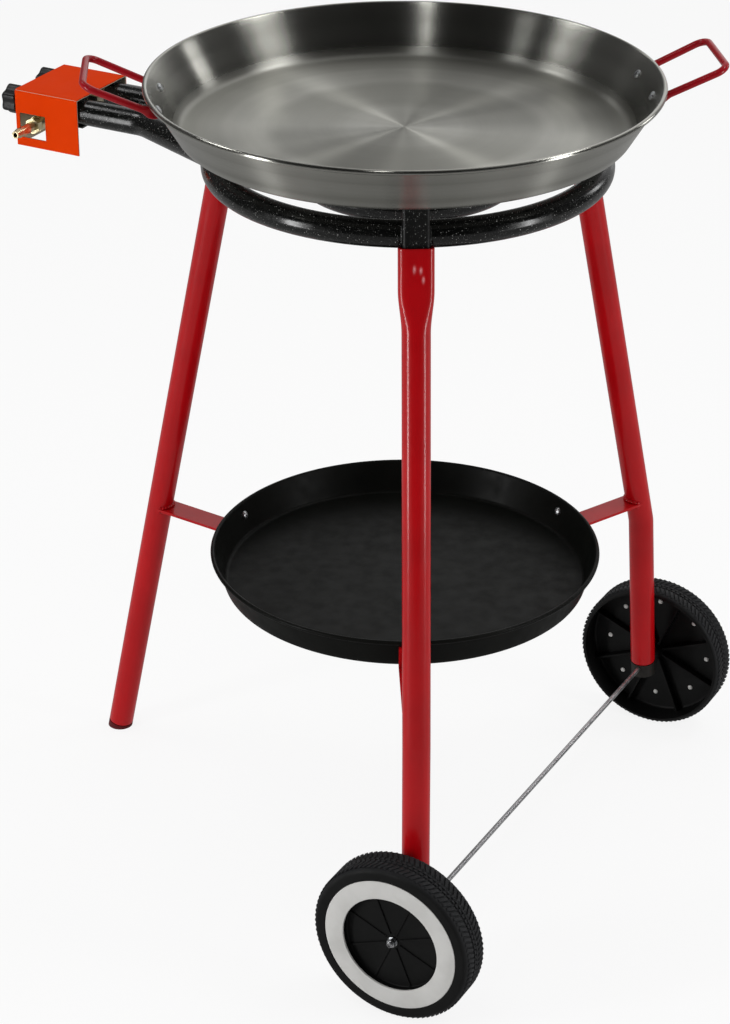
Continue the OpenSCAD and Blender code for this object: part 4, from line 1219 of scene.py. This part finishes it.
def makeBraceWelds():
    tube = legShape["tube"] / 2
    steps = braceSeam["steps"]
    across = [braceSeam["reach"] * (i / steps - 1) for i in range(2 * steps + 1)]
    rows = [(sqrt(max(0, tube ** 2 - y ** 2)) * braceSeam["off"], y) for y in across]
    seams = [
        [burnerPoint(azimuth, legRadius(z) - depth, z, y) for depth, y in rows]
        for azimuth in legAzimuths.values() for z in braceSeam["heights"]]
    layBeads("brace_welds", seams, braceWeld, "red")


makeBurnerWelds()
makeBraceWelds()
print("welds laid")


# Fasteners: tray bolt heads and the axle's thread

boltShape = {"radius": 0.00475, "height": 0.0029, "flat": 0.96, "rise": 0.021, "sunk": 0.0001}
threadShape = {"Radius": 0.00242, "Turns": 2.2, "Length": 0.0021, "Ridge": 0.0003}
threadFromEnd = 0.0025


def makeTrayBolts():
    spots = []
    for azimuth in legAzimuths.values():
        point, normal, _ = wallFrame(trayShape, "tray", azimuth, boltShape["rise"])
        spots.append((point - normal * (trayShape["wall"] - boltShape["sunk"]), -normal))
    mesh = domedHeads(boltShape, "zinc", spots)
    addPiece("tray_bolt_heads", mesh, "zinc", "stand")


def makeAxleThreads():
    rod = span("axle_rod")
    reach = hypot(rod.x, rod.y) / 2
    meshes = []
    for way in (axleWay, -axleWay):
        mesh = grown(trees["threads"], {**threadShape, "Finish": finishes["axle"]})
        start = middle("axle_rod") + way * (reach - threadFromEnd)
        mesh.transform(Matrix.Translation(start) @ facingAlong(way))
        meshes.append(mesh)
    addPiece("axle_threads", joined(meshes), "axle", "stand")


makeTrayBolts()
makeAxleThreads()
print("fasteners made")


# Finishes of the pieces whose solids stay

solidFinishes = {
    "enamel": ("outer_ring", "inner_ring", "outer_feed_tube", "inner_feed_tube"),
    "bracket": ("bracket_front", "bracket_right", "bracket_left", "jet_strap_near", "jet_strap_far"),
    "brass": ("valve_body_near", "valve_body_far", "gas_jets", "gas_rail", "rail_plug", "hose_nozzle"),
    "orange": ("control_cover",),
    "red": ("brace_front", "brace_right", "brace_left"),
    "plug": ("axle_plug_front", "axle_plug_right"),
    "foot": ("foot_cap",),
    "zinc": (
        "panel_nuts", "valve_stem_near", "valve_stem_far", "tray_bolts", "tray_nuts", "axle_washers",
        "axle_nuts"),
    "axle": ("axle_rod",),
}
for finish, names in solidFinishes.items():
    for name in names:
        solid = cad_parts[name]
        solid.data.materials.clear()
        solid.data.materials.append(finishes[finish])
print("solids dressed:", sum(len(names) for names in solidFinishes.values()))
